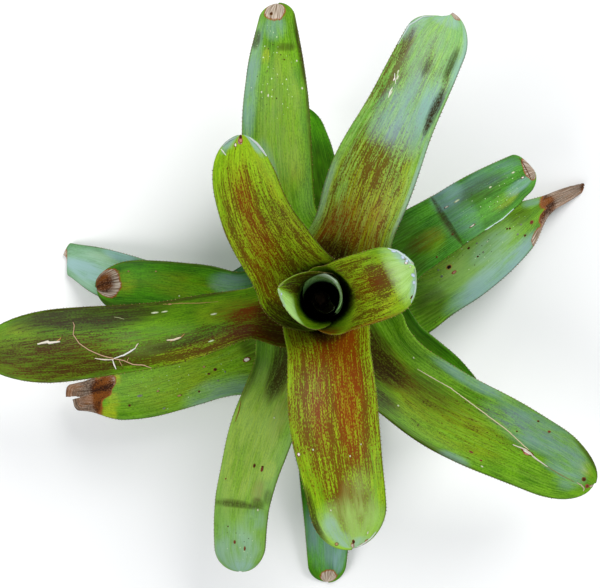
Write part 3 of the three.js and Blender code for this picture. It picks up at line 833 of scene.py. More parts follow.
grow_leaf(
    "leaf_08_left", dark_tissue, bearing=199, sheath=74, tip=60, channel=(50, 10),
    line=[(190.8, 45.5, 90), (192, 92, 101), (190.3, 140, 93), (189.4, 180, 80), (189, 214, 66)],
    widths=[(0.07, 34), (0.15, 32), (0.25, 38), (0.45, 41), (0.66, 45), (1, 44)],
    streaks=[(0.26, 0.6, 66, 0.8, 1.0), (0.7, 0.2, 90, 1.3, 0.65)],
    rust=[(0.08, 0.35, 30, 0.9, 1.1), (0.22, 0.65, 40, 0.4, 0.55), (0.15, -0.25, 24, 0.5, 0.4),
        (0.75, 0.4, 70, 0.9, 0.55)],
    yellow=[(0.27, 0.75, 44, 0.35, 0.9), (0.2, -0.3, 20, 0.6, 0.3), (0.87, -0.4, 30, 0.6, 0.4)],
    shade=[(0.02, 0.2, 20, 1.0, 1.0), (0.6, -0.8, 60, 0.6, 1.3), (0.33, 0.4, 26, 0.15, 0.5),
        (0.66, 0.7, 44, 0.6, 0.35), (0.8, 0.1, 40, 0.6, 0.25), (0.3, -0.98, 40, 0.12, 0.8),
        (0.95, 0, 26, 1.2, 0.15)],
    pale=[(0.42, 0.1, 34, 0.6, 0.12)])
grow_leaf(
    "leaf_07_back_right", bloomed_tissue, bearing=62, sheath=74, tip=22, channel=(45, 16),
    line=[(66, 39.5, 103), (68.5, 77, 125), (67.2, 124.8, 135), (66.2, 176, 121)],
    widths=[(0.2, 48), (0.35, 52), (0.45, 50), (0.6, 41.5), (0.8, 38.5), (1, 35)],
    skew=[(0.88, -3)],
    streaks=[(0.2, 0, 80, 1.5, 0.65), (0.6, 0.1, 60, 1.4, 0.45), (0.85, 0.1, 40, 1.2, 0.35),
        (0.75, 0.8, 40, 0.3, 0.45), (0.7, -0.78, 30, 0.2, 0.6)],
    rust=[(0.14, 0.3, 36, 0.6, 0.95), (0.2, -0.4, 30, 0.4, 0.6), (0.36, 0.05, 26, 0.5, 0.2),
        (0.83, 0.75, 14, 0.2, 0.5)],
    yellow=[(0.18, -0.1, 90, 1.5, 1.2), (0.22, -0.2, 26, 0.35, 1.2), (0.8, 0.2, 40, 0.9, 0.3)],
    shade=[(0.03, 0.3, 24, 0.6, 1.2), (0.66, -0.78, 16, 0.13, 2.0), (0.79, -0.08, 9, 0.12, 0.5),
        (0.83, -0.7, 15, 0.14, 0.8), (0.82, 0.78, 14, 0.14, 0.5)],
    bloom=[(0.63, -0.3, 30, 0.9, 0.55), (0.6, 0.3, 22, 0.5, 0.4), (0.57, -0.1, 14, 0.4, 0.4),
        (0.68, -0.6, 20, 0.35, 0.5), (0.3, 0.95, 26, 0.14, 0.3), (0.85, 0.1, 30, 0.9, 0.08),
        (0.9, 0.85, 15, 0.3, 0.9), (0.86, -0.93, 28, 0.16, 0.9), (0.98, 0, 6, 0.9, 0.6),
        (0.4, -0.97, 50, 0.1, 0.6)],
    pale=[(0.9, -0.1, 60, 1.3, 0.2)], dry=[(1, -0.7, 3, 0.45, 1)])
grow_leaf(
    "leaf_06_front", sunned_tissue, bearing=278, sheath=74, tip=28, channel=(45, 14),
    line=[(276, 36, 107), (275, 72, 123), (276.5, 110, 126), (277, 143, 114)],
    widths=[(0.12, 51), (0.35, 54), (0.5, 52), (0.65, 47), (0.8, 44), (1, 40)],
    streaks=[(0.35, 0.05, 90, 1.6, 1.0), (0.84, 0.1, 26, 0.9, 0.75)],
    rust=[(0.24, 0.35, 44, 0.45, 1.05), (0.06, 0.1, 24, 0.5, 0.7), (0.32, -0.3, 44, 0.3, 0.45),
        (0.5, 0.35, 24, 0.4, 0.45), (0.3, 0, 110, 1.6, 0.3), (0.8, 0.1, 22, 0.5, 0.3)],
    yellow=[(0.25, 0, 90, 1.3, 0.9)], shade=[(0, 0.1, 12, 0.6, 0.9), (0.8, -0.96, 22, 0.16, 1.3)],
    bloom=[(0.9, -0.55, 14, 0.3, 0.7), (0.95, -0.4, 8, 0.4, 0.8), (0.98, 0.4, 6, 0.6, 0.5)],
    pale=[(0.8, 0.35, 26, 0.6, 0.25), (0.9, 0, 24, 1.4, 0.65)],
    dry=[(0.995, 0.75, 3, 0.35, 1), (0.985, -0.05, 2.5, 0.2, 0.9)])
grow_leaf(
    "leaf_05_back_left", sunned_tissue, bearing=146, sheath=74, tip=26, channel=(60, 25),
    line=[(136, 32, 120), (129, 58.5, 146), (122.4, 81, 159), (117, 97.5, 163)],
    widths=[(0.3, 49), (0.6, 41.5), (0.8, 36), (1, 33)], streaks=[(0.42, 0.15, 76, 1.8, 0.92)],
    rust=[(0.5, 0.15, 44, 0.4, 0.6), (0.35, 0.55, 34, 0.35, 0.4), (0.75, 0.1, 16, 0.5, 0.3)],
    yellow=[(0.4, -0.1, 90, 1.6, 1.1)],
    shade=[(0.08, 0.85, 14, 0.35, 1.2), (0.02, -0.4, 14, 0.8, 0.7), (0.1, -1, 16, 0.22, 1.1),
        (0.5, -1, 55, 0.07, 0.8)],
    bloom=[(0.975, 0.75, 6, 0.4, 1.1), (0.97, -0.78, 8, 0.28, 1.1)],
    dry=[(0.985, 0.08, 4, 0.24, 1.2)], char=[(0.995, 0.02, 2.5, 0.15, 1)])
grow_leaf(
    "leaf_04_cup_right", cup_tissue, bearing=14, sheath=72, tip=16, channel=(85, 22), tank=4,
    line=[(16, 21, 128), (18, 35, 152), (21, 50, 163)],
    widths=[(0.3, 49), (0.65, 43), (1, 36)],
    streaks=[(0.5, -0.05, 36, 1.7, 0.9), (0.74, 0.15, 16, 0.6, 0.5)],
    rust=[(0.74, 0.15, 22, 0.5, 0.42), (0.5, 0.05, 24, 0.5, 0.4), (0.05, -0.95, 14, 0.3, 0.8),
        (0.5, -0.97, 30, 0.1, 0.9)],
    shade=[(0.02, 0, 22, 0.5, 1.2)], yellow=[(0.5, -0.1, 40, 1.6, 1.0)],
    pale=[(0.96, 0, 15, 1.3, 0.7)],
    bloom=[(0.98, 0.65, 6, 0.5, 1.2), (0.97, -0.75, 7, 0.35, 1.1)],
    dry=[(0.985, 0.55, 2, 0.12, 1.1)])
grow_leaf(
    "leaf_03_cup_left", cup_tissue, bearing=168, sheath=62, tip=14, channel=(95, 55), tank=4,
    line=[(167, 15.8, 119), (166, 18.5, 133), (165, 26, 141)],
    widths=[(0.5, 44), (0.8, 36), (1, 26)], streaks=[(0.6, -0.5, 26, 0.9, 1.1)],
    pale=[(0.85, 0.6, 18, 0.6, 1.4)],
    shade=[(0.2, -0.5, 16, 0.9, 0.8), (0.6, -0.4, 20, 0.6, 1.0)],
    bloom=[(0.97, 0.7, 4, 0.4, 0.8)], dry=[(1, -0.6, 2, 0.2, 1)])

# ---- Heart leaves ----
# The two youngest leaves, still rolled up inside the tube: pale, soft and hardly coloured,
# because little light has reached them yet.

# The young tissue is pale, and these colours are painted brighter still: painted light, so that
# the rolled leaf shows bright down in the dark tube.
heart_tissue = leaf_tissue(
    "heart_leaf_tissue", "leaf_pale", young="#b4e898", old="#94d078", light="#d0f4bc",
    pale="#f0fff0", streak="#4a4a18", rust="#7a5c30", under="#a8c8a0")

grow_leaf(
    "leaf_02_young", heart_tissue, bearing=60, sheath=48, wall=11.2, shoulder=84, tip=13,
    channel=(106, 84), tank=19,
    line=[(60, 11.8, 100), (57, 13.2, 118)],
    widths=[(0.6, 39), (1, 32)], curl=[(0.6, -66)], yellow=[(0.75, 0.1, 14, 1.2, 0.5)],
    pale=[(0.95, 0.2, 9, 1.1, 1.4)])
grow_leaf(
    "leaf_01_heart", heart_tissue, bearing=290, sheath=22, wall=4.6, shoulder=66, tip=10,
    channel=(60, 40),
    line=[(300, 5.5, 78), (325, 8.5, 90)],
    # The whole heart leaf is darkened with painted shade, deep in the tube.
    widths=[(0.6, 11), (1, 7)], shade=[(0.4, 0, 40, 2, 3)])

# ---- Margin spines ----
# The small horny spines along every grown leaf's two margins, tan to dark brown. Each is an
# outgrowth of the margin itself, and leans a little towards the leaf's tip.

SPINE_SPACING = 2.3
SPINE_LENGTH = 1.0
SPINE_RADIUS = 0.3
SPINE_LEAN = 0.45
SPINE_SIDES = 5
SUNK_SHARE = 0.25
SMALLEST_SPINE = 0.55
SPINES_FROM = 0.02
SPINES_UNTIL = 0.88
FIRST_SPINY_LEAF = 3
RIGHT_ACROSS = 2
DEAD_TIP_LEAD = 0.14
SAME_V = 1e-3
SAME_PAST = 1e-5


def read_vectors(items, name):
    values = np.zeros(len(items) * 3, np.float32)
    items.foreach_get(name, values)
    return values.reshape(-1, 3)


def margin_lines():
    """The margins of all grown leaves: places, directions away from the blade, and edges."""
    places = []
    away = []
    edges = []
    for number, (mesh, leaf) in grown_leaves.items():
        if number < FIRST_SPINY_LEAF:
            continue
        at = read_vectors(mesh.vertices, "co")
        v, past, share = read_values(mesh, "v", "past", "share")
        # Where a tip has died right across, its spines are gone too.
        dead_from = [at_share - DEAD_TIP_LEAD for at_share, _, _, half_width, _
                     in leaf.get("dry", ()) if half_width > RIGHT_ACROSS]
        grown = (share > SPINES_FROM) & (share < min([SPINES_UNTIL] + dead_from))
        for side in (-1, 1):
            last = np.flatnonzero((np.abs(v - side) < SAME_V) & grown)
            last = last[np.argsort(past[last])]
            last = last[np.concatenate([[True], np.diff(past[last]) > SAME_PAST])]
            near = np.flatnonzero(np.abs(v - side * (1 - 2 / (COLUMNS - 1))) < SAME_V)
            middle = np.array([at[near[np.abs(past[near] - past[k]) < SAME_PAST]].mean(axis=0)
                               for k in last])
            edges += chain(len(places), len(last))
            places.extend(at[last])
            away.extend(unit(at[last] - middle))
    return np.array(places), np.array(away), edges


def spine_tree():
    """Node tree that sets small pointed spines along lines, each turned away from its leaf."""
    tree, node, given = new_tree("margin_spines", "Line", {
        "Spacing": SPINE_SPACING * MM, "Length": SPINE_LENGTH * MM, "Radius": SPINE_RADIUS * MM,
        "Lean": SPINE_LEAN, "Seed": 4}, "Spines")
    curve = node("MeshToCurve", [given["Line"]])
    curve = node("ResampleCurve", {"Curve": curve, "Length": given["Spacing"]}, mode="LENGTH")
    cone = node("MeshCone", {
        "Vertices": SPINE_SIDES, "Radius Top": 0.0, "Radius Bottom": given["Radius"],
        "Depth": given["Length"]})
    # The foot of each spine is sunk in the margin.
    sunk = node("MULTIPLY", [given["Length"], -SUNK_SHARE])
    sunk = node("CombineXYZ", {"Z": sunk})
    cone = node("SetPosition", {"Geometry": cone, "Offset": sunk})
    tangent = node("InputTangent")
    forward = node("VectorMath", [tangent, given["Lean"]], operation="SCALE")
    away = node("InputNamedAttribute", {"Name": "away"}, data_type="FLOAT_VECTOR")
    direction = node("VectorMath", [away, forward], operation="ADD")
    turned = node("AlignRotationToVector", {"Vector": direction}, axis="Z")
    scale = node("RandomValue", {"Min": SMALLEST_SPINE, "Max": 1.0, "Seed": given["Seed"]})
    spines = node("InstanceOnPoints", {
        "Points": curve, "Instance": cone, "Rotation": turned, "Scale": scale})
    end_tree(node, given, spines, "Spines")
    return tree


def horny_spine():
    """Horn: hard, half glossy, tan to dark brown from one spine to the next."""
    # The tone changes over about 3 mm, a little more than the spines' spacing.
    material, node = new_material("horny_spine")
    place = node("TexCoord").outputs["Object"]
    tones = node("TexNoise", {"Vector": place, "Scale": 350.0})
    tones = node("MapRange", [tones, 0.4, 0.6])
    colour = node("Mix", [tones, "#3c220c", "#9a8148"], data_type="RGBA")
    shader = node("BsdfPrincipled", {
        "Base Color": colour, "Roughness": 0.5, "IOR": 1.54, "Specular IOR Level": 0.3})
    node("OutputMaterial", {"Surface": shader})
    return material


horn = horny_spine()
spine_places, spine_away, spine_edges = margin_lines()
spines = grow("margin_spines", spine_places, spine_edges, {"away": spine_away}, spine_tree(),
              {"Material": horn})
finish_piece(spines, horn, "leaf_streaked")

# ---- Scabs and scars ----
# Healed damage on the leaves: low corky scabs, some with a dark or a tan ring, and thin raised
# lines where something has scraped along. The grey-blue domes and lines at the tips and margins
# are wax, made paler with painted sheen. All are grown from the leaf and sunk in its skin.

# Kinds of scab: the colour in its middle and the colour at its rim.
SCAB_COLOURS = {
    "ringed": ("#1a100a", "#a89440"),
    "brown": ("#3c1c0c", "#6a4a1c"),
    "red": ("#6a2a20", "#7c5a30"),
    "tan": ("#a8885c", "#6a5a2c"),
    "pink": ("#b07a68", "#8a4a28"),
    "pale": ("#c8ccb0", "#a0b078"),
    "white": ("#dcd8ca", "#6a2c14"),
    "grey": ("#6c7068", "#7a8a5a"),
    # Grey-blue wax, made paler with painted sheen.
    "wax_and_sheen": ("#c0cce0", "#98b0a8"),
}
SCAB_RISE = 0.3
SCAB_UNEVENNESS = 0.7
SCAB_LUMP_SIZE = 1.3
SCAB_STEP = 0.015
SCAB_SEGMENTS = 14
SCAB_RINGS = 8
CORD_SPACING = 0.8
CORD_WANDER = 0.5
CORD_SIDES = 8
CORD_END = 0.5
SCAR_SINK = 0.45
NEAREST_POINTS = 4
# In metres: a leaf's usual half width, a distance beyond any leaf, and one that counts as none.
HALF_A_LEAF = 0.02
OUT_OF_REACH = 9
NO_DISTANCE = 1e-5

# By the leaf's number: share of its length, v across, length and width in mm, and the kind.
SCABS = {
    4: [(0.96, 0.35, 2.4, 1.6, "white"), (0.975, 0.1, 1.6, 1.2, "pale"),
        (0.9, -0.86, 3.0, 1.0, "brown"), (0.93, 0.9, 3.6, 1.8, "wax_and_sheen"),
        (0.965, 0.72, 2.6, 3.2, "wax_and_sheen"), (0.975, 0.5, 2.0, 2.2, "wax_and_sheen"),
        (0.97, -0.45, 2.2, 3.6, "wax_and_sheen"), (0.955, -0.7, 2.6, 2.6, "wax_and_sheen")],
    3: [(0.95, 0.4, 1.6, 2.4, "wax_and_sheen"), (0.9, 0.85, 2.4, 1.2, "wax_and_sheen")],
    5: [(0.975, 0.02, 3.0, 2.4, "pink"), (0.99, 0.04, 2.4, 1.8, "brown"),
        (0.955, 0.3, 2.6, 1.2, "white")],
    6: [(0.54, -0.55, 1.3, 1.1, "pale"), (0.55, -0.92, 2.6, 2.0, "white"),
        (0.8, -0.45, 1.4, 1.0, "pale"), (0.59, 0.25, 1.3, 0.9, "pale"),
        (0.55, 0.55, 1.2, 0.9, "pale"), (0.97, 0.75, 3.0, 1.8, "tan"),
        (0.965, 0.05, 3.2, 1.6, "brown"), (0.955, -0.75, 2.6, 2.2, "tan"),
        (0.93, 0.6, 2.6, 1.0, "pale")],
    7: [(0.655, 0.5, 4.0, 1.2, "pale"), (0.7, 0.62, 3.4, 1.2, "white"),
        (0.71, 0.52, 3.0, 1.0, "pale"), (0.725, 0.6, 2.6, 1.0, "pale")],
    8: [(0.25, 0.6, 4.0, 1.0, "pale"), (0.22, -0.25, 4.2, 1.2, "pale"),
        (0.36, -0.66, 4.0, 1.0, "pale"), (0.39, -0.66, 5.0, 1.2, "pale"),
        (0.34, -0.88, 3.0, 1.2, "tan")],
    9: [(0.7, -0.05, 11, 2.6, "white"), (0.7, -0.07, 5.0, 1.8, "pink"),
        (0.73, 0.72, 2.4, 1.8, "red"), (0.67, 0.8, 1.8, 1.4, "brown"),
        (0.52, -0.63, 3.2, 1.2, "red"), (0.56, -0.72, 1.8, 1.2, "red"),
        (0.57, -0.85, 2.0, 1.0, "pale"), (0.95, 0.0, 3.6, 3.0, "brown"),
        (0.975, -0.35, 3.6, 3.0, "red"), (0.27, -0.55, 1.4, 1.0, "pale"),
        (0.22, 0.6, 1.2, 1.0, "pale"), (0.63, 0.3, 1.3, 1.0, "brown")],
    10: [(0.955, 0.35, 2.6, 2.0, "brown"), (0.64, -0.82, 1.8, 1.2, "pale"),
        (0.63, 0.45, 1.6, 1.0, "pale"), (0.62, 0.25, 2.2, 1.2, "pale"),
        (0.76, -0.3, 1.2, 1.0, "brown"), (0.75, -0.75, 1.4, 1.0, "pale")],
    11: [(0.505, 0.37, 3.4, 1.8, "red"), (0.495, 0.36, 1.6, 1.4, "brown"),
        (0.5, 0.1, 2.8, 1.8, "brown"), (0.84, -0.22, 3.6, 1.6, "red"),
        (0.87, 0.18, 4.2, 1.4, "red"), (0.76, -0.48, 1.2, 1.0, "brown"),
        (0.57, -0.75, 1.2, 1.0, "red"), (0.3, 0.22, 1.2, 1.0, "pale"),
        (0.68, 0.6, 1.8, 1.2, "pale")],
    12: [(0.5, 0.43, 3.4, 0.9, "white"), (0.55, 0.4, 4.2, 1.0, "pale"),
        (0.55, -0.6, 4.6, 1.0, "white"), (0.88, 0.35, 3.0, 1.2, "pale"),
        (0.92, 0.0, 3.0, 1.2, "white"), (0.73, 0.25, 2.4, 1.2, "pale"),
        (0.45, -0.45, 1.6, 1.2, "brown"), (0.34, -0.8, 1.4, 1.2, "brown")],
    13: [(0.62, -0.6, 1.4, 1.0, "tan"), (0.76, -0.62, 1.6, 1.0, "tan"),
        (0.48, 0.15, 1.2, 1.0, "pale")],
    16: [(0.135, 0.12, 5.4, 3.2, "white"), (0.28, 0.09, 2.6, 2.2, "brown"),
        (0.31, 0.18, 2.0, 1.6, "brown"), (0.32, -0.1, 2.2, 1.4, "tan"),
        (0.37, 0.6, 1.8, 1.4, "brown"), (0.28, 0.45, 1.4, 1.2, "grey"),
        (0.46, 0.55, 3.8, 1.4, "tan"), (0.55, 0.2, 2.4, 1.4, "tan"),
        (0.64, 0.22, 4.4, 1.8, "grey"), (0.69, 0.5, 2.2, 1.8, "brown"),
        (0.54, 0.8, 2.4, 1.2, "grey"), (0.24, 0.24, 1.4, 1.2, "grey")],
    17: [(0.285, 0.48, 4.6, 3.6, "ringed"), (0.29, 0.22, 3.8, 2.0, "pink"),
        (0.24, 0.3, 2.0, 1.8, "grey"), (0.24, 0.55, 1.6, 1.2, "grey"),
        (0.4, 0.6, 2.4, 1.4, "brown"), (0.44, 0.55, 1.8, 1.2, "grey"),
        (0.41, 0.15, 1.6, 1.2, "brown"), (0.44, 0.15, 1.6, 1.2, "grey"),
        (0.48, 0.35, 1.6, 1.0, "pale"), (0.58, 0.25, 1.6, 1.4, "brown"),
        (0.59, 0.18, 1.8, 1.4, "brown"), (0.64, 0.0, 1.8, 1.4, "grey"),
        (0.6, -0.2, 2.0, 1.4, "grey"), (0.62, -0.45, 2.2, 1.6, "brown"),
        (0.685, -0.28, 3.6, 2.4, "red")],
}

# Raised lines: the leaf's number, the colour, the radius in mm, and the places along it.
SCARS = [
    (9, "#c4bc94", 0.34, [(0.25, 0.43), (0.3, 0.45), (0.37, 0.48), (0.43, 0.45), (0.5, 0.37),
        (0.6, 0.22), (0.68, 0.07), (0.7, 0.02)]),
    (9, "#ccc6b0", 0.5, [(0.64, -0.04), (0.69, -0.01), (0.74, -0.1), (0.8, -0.15)]),
    (9, "#8a7c4c", 0.26, [(0.8, -0.15), (0.86, -0.2), (0.92, -0.28)]),
    (9, "#b8a890", 0.4, [(0.93, -0.27), (0.955, -0.33), (0.965, -0.5), (0.97, -0.7)]),
    (7, "#e0e0d4", 0.4, [(0.64, 0.5), (0.655, 0.54), (0.675, 0.54)]),
    (7, "#dcdccc", 0.3, [(0.69, 0.5), (0.705, 0.6), (0.715, 0.66)]),
    (7, "#dcdccc", 0.3, [(0.7, 0.55), (0.73, 0.58)]),
    (5, "#d0d4c4", 0.4, [(0.91, 0.62), (0.925, 0.8), (0.94, 0.95)]),
    # The grey-blue lines along the margins near the tips, here and on leaf 12 below, are waxy
    # rolled edges made paler with painted sheen.
    (5, "#b4bcb8", 0.6, [(0.9, -0.96), (0.93, -0.94), (0.96, -0.92), (0.985, -0.8)]),
    (5, "#9aa8a4", 0.45, [(0.95, 0.96), (0.975, 0.9), (0.99, 0.7)]),
    (4, "#b8c8c4", 0.5, [(0.9, 0.97), (0.95, 0.95), (0.98, 0.8), (0.99, 0.5)]),
    (4, "#a8bcb4", 0.45, [(0.88, -0.97), (0.94, -0.95), (0.975, -0.85)]),
    (6, "#b8c0b4", 0.45, [(0.93, 0.9), (0.96, 0.88), (0.985, 0.7), (0.992, 0.4)]),
    (7, "#b4c4bc", 0.45, [(0.8, 0.98), (0.88, 0.97), (0.95, 0.93), (0.98, 0.8)]),
    (8, "#9a8448", 0.3, [(0.2, -0.65), (0.26, -0.74), (0.31, -0.84), (0.36, -0.9)]),
    (8, "#a0a878", 0.2, [(0.485, -0.56), (0.5, -0.61), (0.515, -0.64)]),
    # Waxy margin, made paler with painted sheen.
    (12, "#bcd4c8", 0.42, [(0.5, -0.97), (0.6, -0.97), (0.7, -0.97), (0.78, -0.96)]),
    (11, "#7a4020", 0.3, [(0.29, -0.93), (0.32, -0.88), (0.36, -0.87)]),
    (12, "#5a3418", 0.3, [(0.955, -0.5), (0.962, 0), (0.962, 0.5), (0.955, 0.85)]),
]


def find_on_leaf(number, places):
    """Points on a leaf's upper face at places (share of its length, v), and their normals."""
    mesh, _ = grown_leaves[number]
    at = read_vectors(mesh.vertices, "co")
    normals = read_vectors(mesh.vertex_normals, "vector")
    v, past = read_values(mesh, "v", "past")
    points = []
    directions = []
    for share, at_v in places:
        away = np.hypot(past - share * past.max(), (v - at_v) * HALF_A_LEAF)
        away[normals[:, 2] <= 0] = OUT_OF_REACH
        nearest = np.argsort(away)[:NEAREST_POINTS]
        weights = 1 / (away[nearest] + NO_DISTANCE)
        weights = (weights / weights.sum())[:, None]
        points.append((at[nearest] * weights).sum(axis=0))
        directions.append((normals[nearest] * weights).sum(axis=0))
    return np.array(points), unit(np.array(directions))


def scab_tree():
    """Node tree that lays a low uneven dome on each point, stretched along its leaf."""
    tree, node, given = new_tree("scabs", "Places", {
        "Unevenness": SCAB_UNEVENNESS * MM, "Lump size": SCAB_LUMP_SIZE * MM, "Seed": 3}, "Scabs")
    here = node("InputPosition")
    dome = node("MeshUVSphere", {
        "Segments": SCAB_SEGMENTS, "Rings": SCAB_RINGS, "Radius": 1.0})
    flat = node("VectorMath", [here, (1.0, 1.0, 0.0)], operation="MULTIPLY")
    out = node("VectorMath", [flat], operation="LENGTH")
    dome = node("StoreNamedAttribute", {"Geometry": dome, "Name": "out", "Value": out})
    normal, along, size = (node("InputNamedAttribute", {"Name": name}, data_type="FLOAT_VECTOR")
                           for name in ("normal", "along", "size"))
    turned = node("AlignRotationToVector", {"Vector": normal}, axis="Z")
    turned = node("AlignRotationToVector", {"Rotation": turned, "Vector": along},
                  axis="X", pivot_axis="Z")
    scabs = node("InstanceOnPoints", {
        "Points": given["Places"], "Instance": dome, "Rotation": turned, "Scale": size})
    scabs = node("RealizeInstances", [scabs])
    place = node("VectorMath", [here, given["Lump size"]], operation="DIVIDE")
    lumps = node("TexNoise", {
        "Vector": place, "W": given["Seed"], "Scale": 1.0},
        noise_dimensions="4D").outputs["Color"]
    lumps = node("VectorMath", [lumps, (0.5, 0.5, 0.5)], operation="SUBTRACT")
    lumps = node("VectorMath", [lumps, given["Unevenness"]], operation="SCALE")
    scabs = node("SetPosition", {"Geometry": scabs, "Offset": lumps})
    end_tree(node, given, node("SetShadeSmooth", [scabs]), "Scabs")
    return tree


def cord_tree():
    """Node tree that runs a thin uneven cord, with closed ends, along each line."""
    tree, node, given = new_tree("ridges", "Line", {
        "Spacing": CORD_SPACING * MM, "Wander": CORD_WANDER * MM, "Sides": CORD_SIDES,
        "Seed": 5}, "Cords")
    curve = node("MeshToCurve", [given["Line"]])
    curve = node("ResampleCurve", {"Curve": curve, "Length": given["Spacing"]}, mode="LENGTH")
    # The cord wanders from its line and back about every 2 mm.
    shift = node("TexNoise", {
        "Vector": node("InputPosition"), "W": given["Seed"], "Scale": 500.0},
        noise_dimensions="4D").outputs["Color"]
    shift = node("VectorMath", [shift, (0.5, 0.5, 0.5)], operation="SUBTRACT")
    shift = node("VectorMath", [shift, given["Wander"]], operation="SCALE")
    curve = node("SetPosition", {"Geometry": curve, "Offset": shift})
    ring = node("CurvePrimitiveCircle", {
        "Resolution": given["Sides"], "Radius": 1.0}, mode="RADIUS")
    radius = node("InputNamedAttribute", {"Name": "radius_mm"})
    radius = node("MULTIPLY", [radius, MM])
    cords = node("CurveToMesh", {
        "Curve": curve, "Profile Curve": ring, "Scale": radius, "Fill Caps": True})
    end_tree(node, given, cords, "Cords")
    return tree


def corky_scab():
    """Healed tissue: corky, dull and uneven, from near black through tan to white."""
    material, node = new_material("corky_scab")
    core, rim, out = (node("Attribute", attribute_name=name).outputs[result]
                      for name, result in (("core", "Color"), ("rim", "Color"), ("out", "Fac")))
    place = node("TexCoord").outputs["Object"]
    grain = node("TexNoise", {"Vector": place, "Scale": 1500.0})
    # The rim's colour starts about two thirds of the way out, broken up by a grain of 0.7 mm.
    ring = node("MULTIPLY_ADD", [grain, 0.5, out])
    ring = node("MapRange", [ring, 0.8, 1.0])
    colour = node("Mix", [ring, core, rim], data_type="RGBA")
    shader = node("BsdfPrincipled", {
        "Base Color": colour, "Roughness": 0.85, "IOR": 1.45, "Specular IOR Level": 0.2})
    node("OutputMaterial", {"Surface": shader})
    return material


def lay_scabs(scabs_of, tree, material):
    places = []
    carried = {name: [] for name in ("normal", "along", "size", "core", "rim")}
    for number, scabs in scabs_of.items():
        at, normals = find_on_leaf(number, [scab[:2] for scab in scabs])
        before, after = (find_on_leaf(number, [(share + step, v) for share, v, *_ in scabs])[0]
                         for step in (-SCAB_STEP, SCAB_STEP))
        places.extend(at)
        carried["normal"].extend(normals)
        carried["along"].extend(after - before)
        for _, _, length, width, kind in scabs:
            carried["size"].append((length / 2 * MM, width / 2 * MM, SCAB_RISE * MM))
            for part, colour in zip(("core", "rim"), SCAB_COLOURS[kind]):
                carried[part].append(linear_colour(colour))
    piece = grow("leaf_scabs", places, [], carried, tree, {"Material": material})
    finish_piece(piece, material, "leaf_green")


def lay_cords(name, lines, sink, tree, material, slot):
    """Cords along lines on the leaves, thinner at their ends. Sink is how much of a cord's
    radius is below the leaf's face."""
    places = []
    edges = []
    radii = []
    cores = []
    for number, colour, radius, path in lines:
        at, normals = find_on_leaf(number, path)
        edges += chain(len(places), len(path))
        places.extend(at + normals * (1 - 2 * sink) * radius * MM)
        radii += [radius * CORD_END, *[radius] * (len(path) - 2), radius * CORD_END]
        cores += [linear_colour(colour)] * len(path)
    carried = {"radius_mm": radii, "out": [0.0] * len(radii), "core": cores, "rim": cores}
    piece = grow(name, places, edges, carried, tree, {"Material": material})
    finish_piece(piece, material, slot)


cork = corky_scab()
cords = cord_tree()
lay_scabs(SCABS, scab_tree(), cork)
lay_cords("leaf_scars", SCARS, SCAR_SINK, cords, cork, "leaf_green")

# ---- Fallen twig ----
# A dry forked twig and two scraps of bark that have dropped on the long left leaf and lie
# loose in its channel. They are bleached, dead and dull.

TWIG_SINK = 0.05
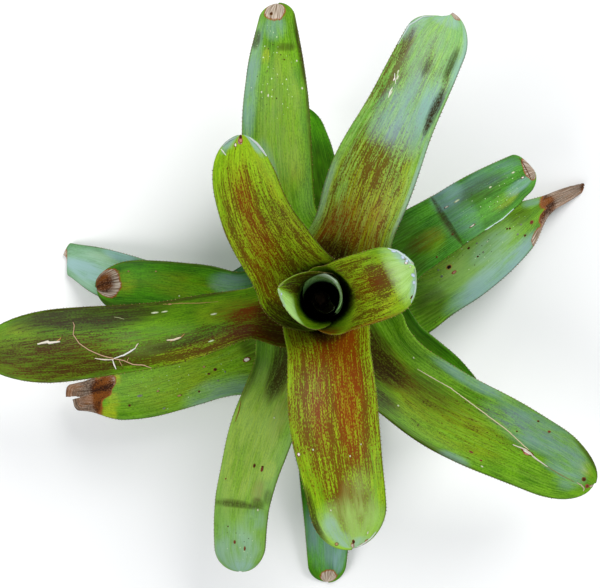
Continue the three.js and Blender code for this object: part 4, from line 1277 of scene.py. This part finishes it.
# As for the scars: the leaf's number, the colour, the radius in mm, and the places along it.
TWIG = [
    (8, "#b89878", 0.3, [(0.42, 0.97), (0.44, 0.86), (0.47, 0.78), (0.5, 0.62), (0.53, 0.55),
        (0.57, 0.4), (0.61, 0.2), (0.64, 0), (0.655, -0.25), (0.645, -0.5), (0.645, -0.6)]),
    (8, "#dcdcd4", 0.5, [(0.462, 0.3), (0.475, 0.38), (0.5, 0.47), (0.53, 0.54)]),
    (8, "#d8c8b0", 0.4, [(0.452, 0.18), (0.458, 0.24), (0.465, 0.32)]),
    (8, "#e0dcd0", 0.42, [(0.525, 0.85), (0.53, 0.7), (0.535, 0.56)]),
    (8, "#dccebc", 0.4, [(0.53, 0.56), (0.56, 0.54), (0.59, 0.46)]),
    (8, "#b8946c", 0.3, [(0.475, 0.4), (0.478, 0.33)]),
    (8, "#b8946c", 0.32, [(0.49, 0.66), (0.485, 0.56)]),
    (8, "#b8946c", 0.32, [(0.515, 0.6), (0.505, 0.78)]),
    (8, "#b08450", 0.32, [(0.318, 0.14), (0.325, 0.2), (0.332, 0.22)]),
    (8, "#dcccb0", 0.6, [(0.328, 0.21), (0.337, 0.24), (0.35, 0.23), (0.37, 0.22)]),
    (8, "#b08450", 0.34, [(0.345, 0.25), (0.36, 0.27)]),
    (8, "#b08450", 0.4, [(0.695, -0.2), (0.71, -0.16), (0.72, -0.12)]),
    (8, "#dcd4c4", 0.85, [(0.71, -0.12), (0.725, -0.09), (0.74, -0.13), (0.765, -0.1)]),
]
lay_cords("fallen_twig", TWIG, TWIG_SINK, cords, cork, "leaf_streaked")

# ---- Floor, light and camera ----
# A plain pale floor under a dim even sky, lit by two large soft lamps at the sides.

FLOOR_REACH = 4.0
LAMP_SIZE = 1.6
CAMERA_PLACE = (-13.25, 3.46, 700.0)
CAMERA_LENS = 61.44
CAMERA_SENSOR = 36.0

# Matt paper has no shine, so that only the plant's soft shadow shows on it.
floor_mesh = bpy.data.meshes.new("floor")
floor_mesh.from_pydata(
    [(x * FLOOR_REACH, y * FLOOR_REACH, 0) for x, y in ((-1, -1), (1, -1), (1, 1), (-1, 1))],
    [], [(0, 1, 2, 3)])
paper, node = new_material("pale_paper")
shader = node("BsdfPrincipled", {"Base Color": "#f2f2f0", "Roughness": 0.9})
node("OutputMaterial", {"Surface": shader})
floor_mesh.materials.append(paper)
add_object("floor", floor_mesh)

scene = bpy.context.scene
scene.view_settings.view_transform = "Standard"
sky = bpy.data.worlds.new("soft_sky")
scene.world = sky
sky.use_nodes = True
sky.node_tree.nodes.clear()
sky_light = add_node(sky.node_tree, "Background", ["#f4f7ff", 0.55])
add_node(sky.node_tree, "OutputWorld", {"Surface": sky_light})

# Each lamp stands well to one side, so that its shine stays off the leaves that face up.
for name, place, watts in (("key_lamp", (1.1, 1.6, 1.7), 50.0),
                           ("fill_lamp", (-1.7, -0.9, 1.6), 34.0)):
    light = bpy.data.lights.new(name, "AREA")
    light.shape = "DISK"
    light.size = LAMP_SIZE
    light.energy = watts
    lamp = add_object(name, light)
    lamp.location = place
    lamp.rotation_euler = Vector(place).to_track_quat("Z", "Y").to_euler()

camera_data = bpy.data.cameras.new("camera")
camera_data.sensor_width = CAMERA_SENSOR
camera_data.lens = CAMERA_LENS
scene.camera = add_object("camera", camera_data)
scene.camera.location = [value * MM for value in CAMERA_PLACE]
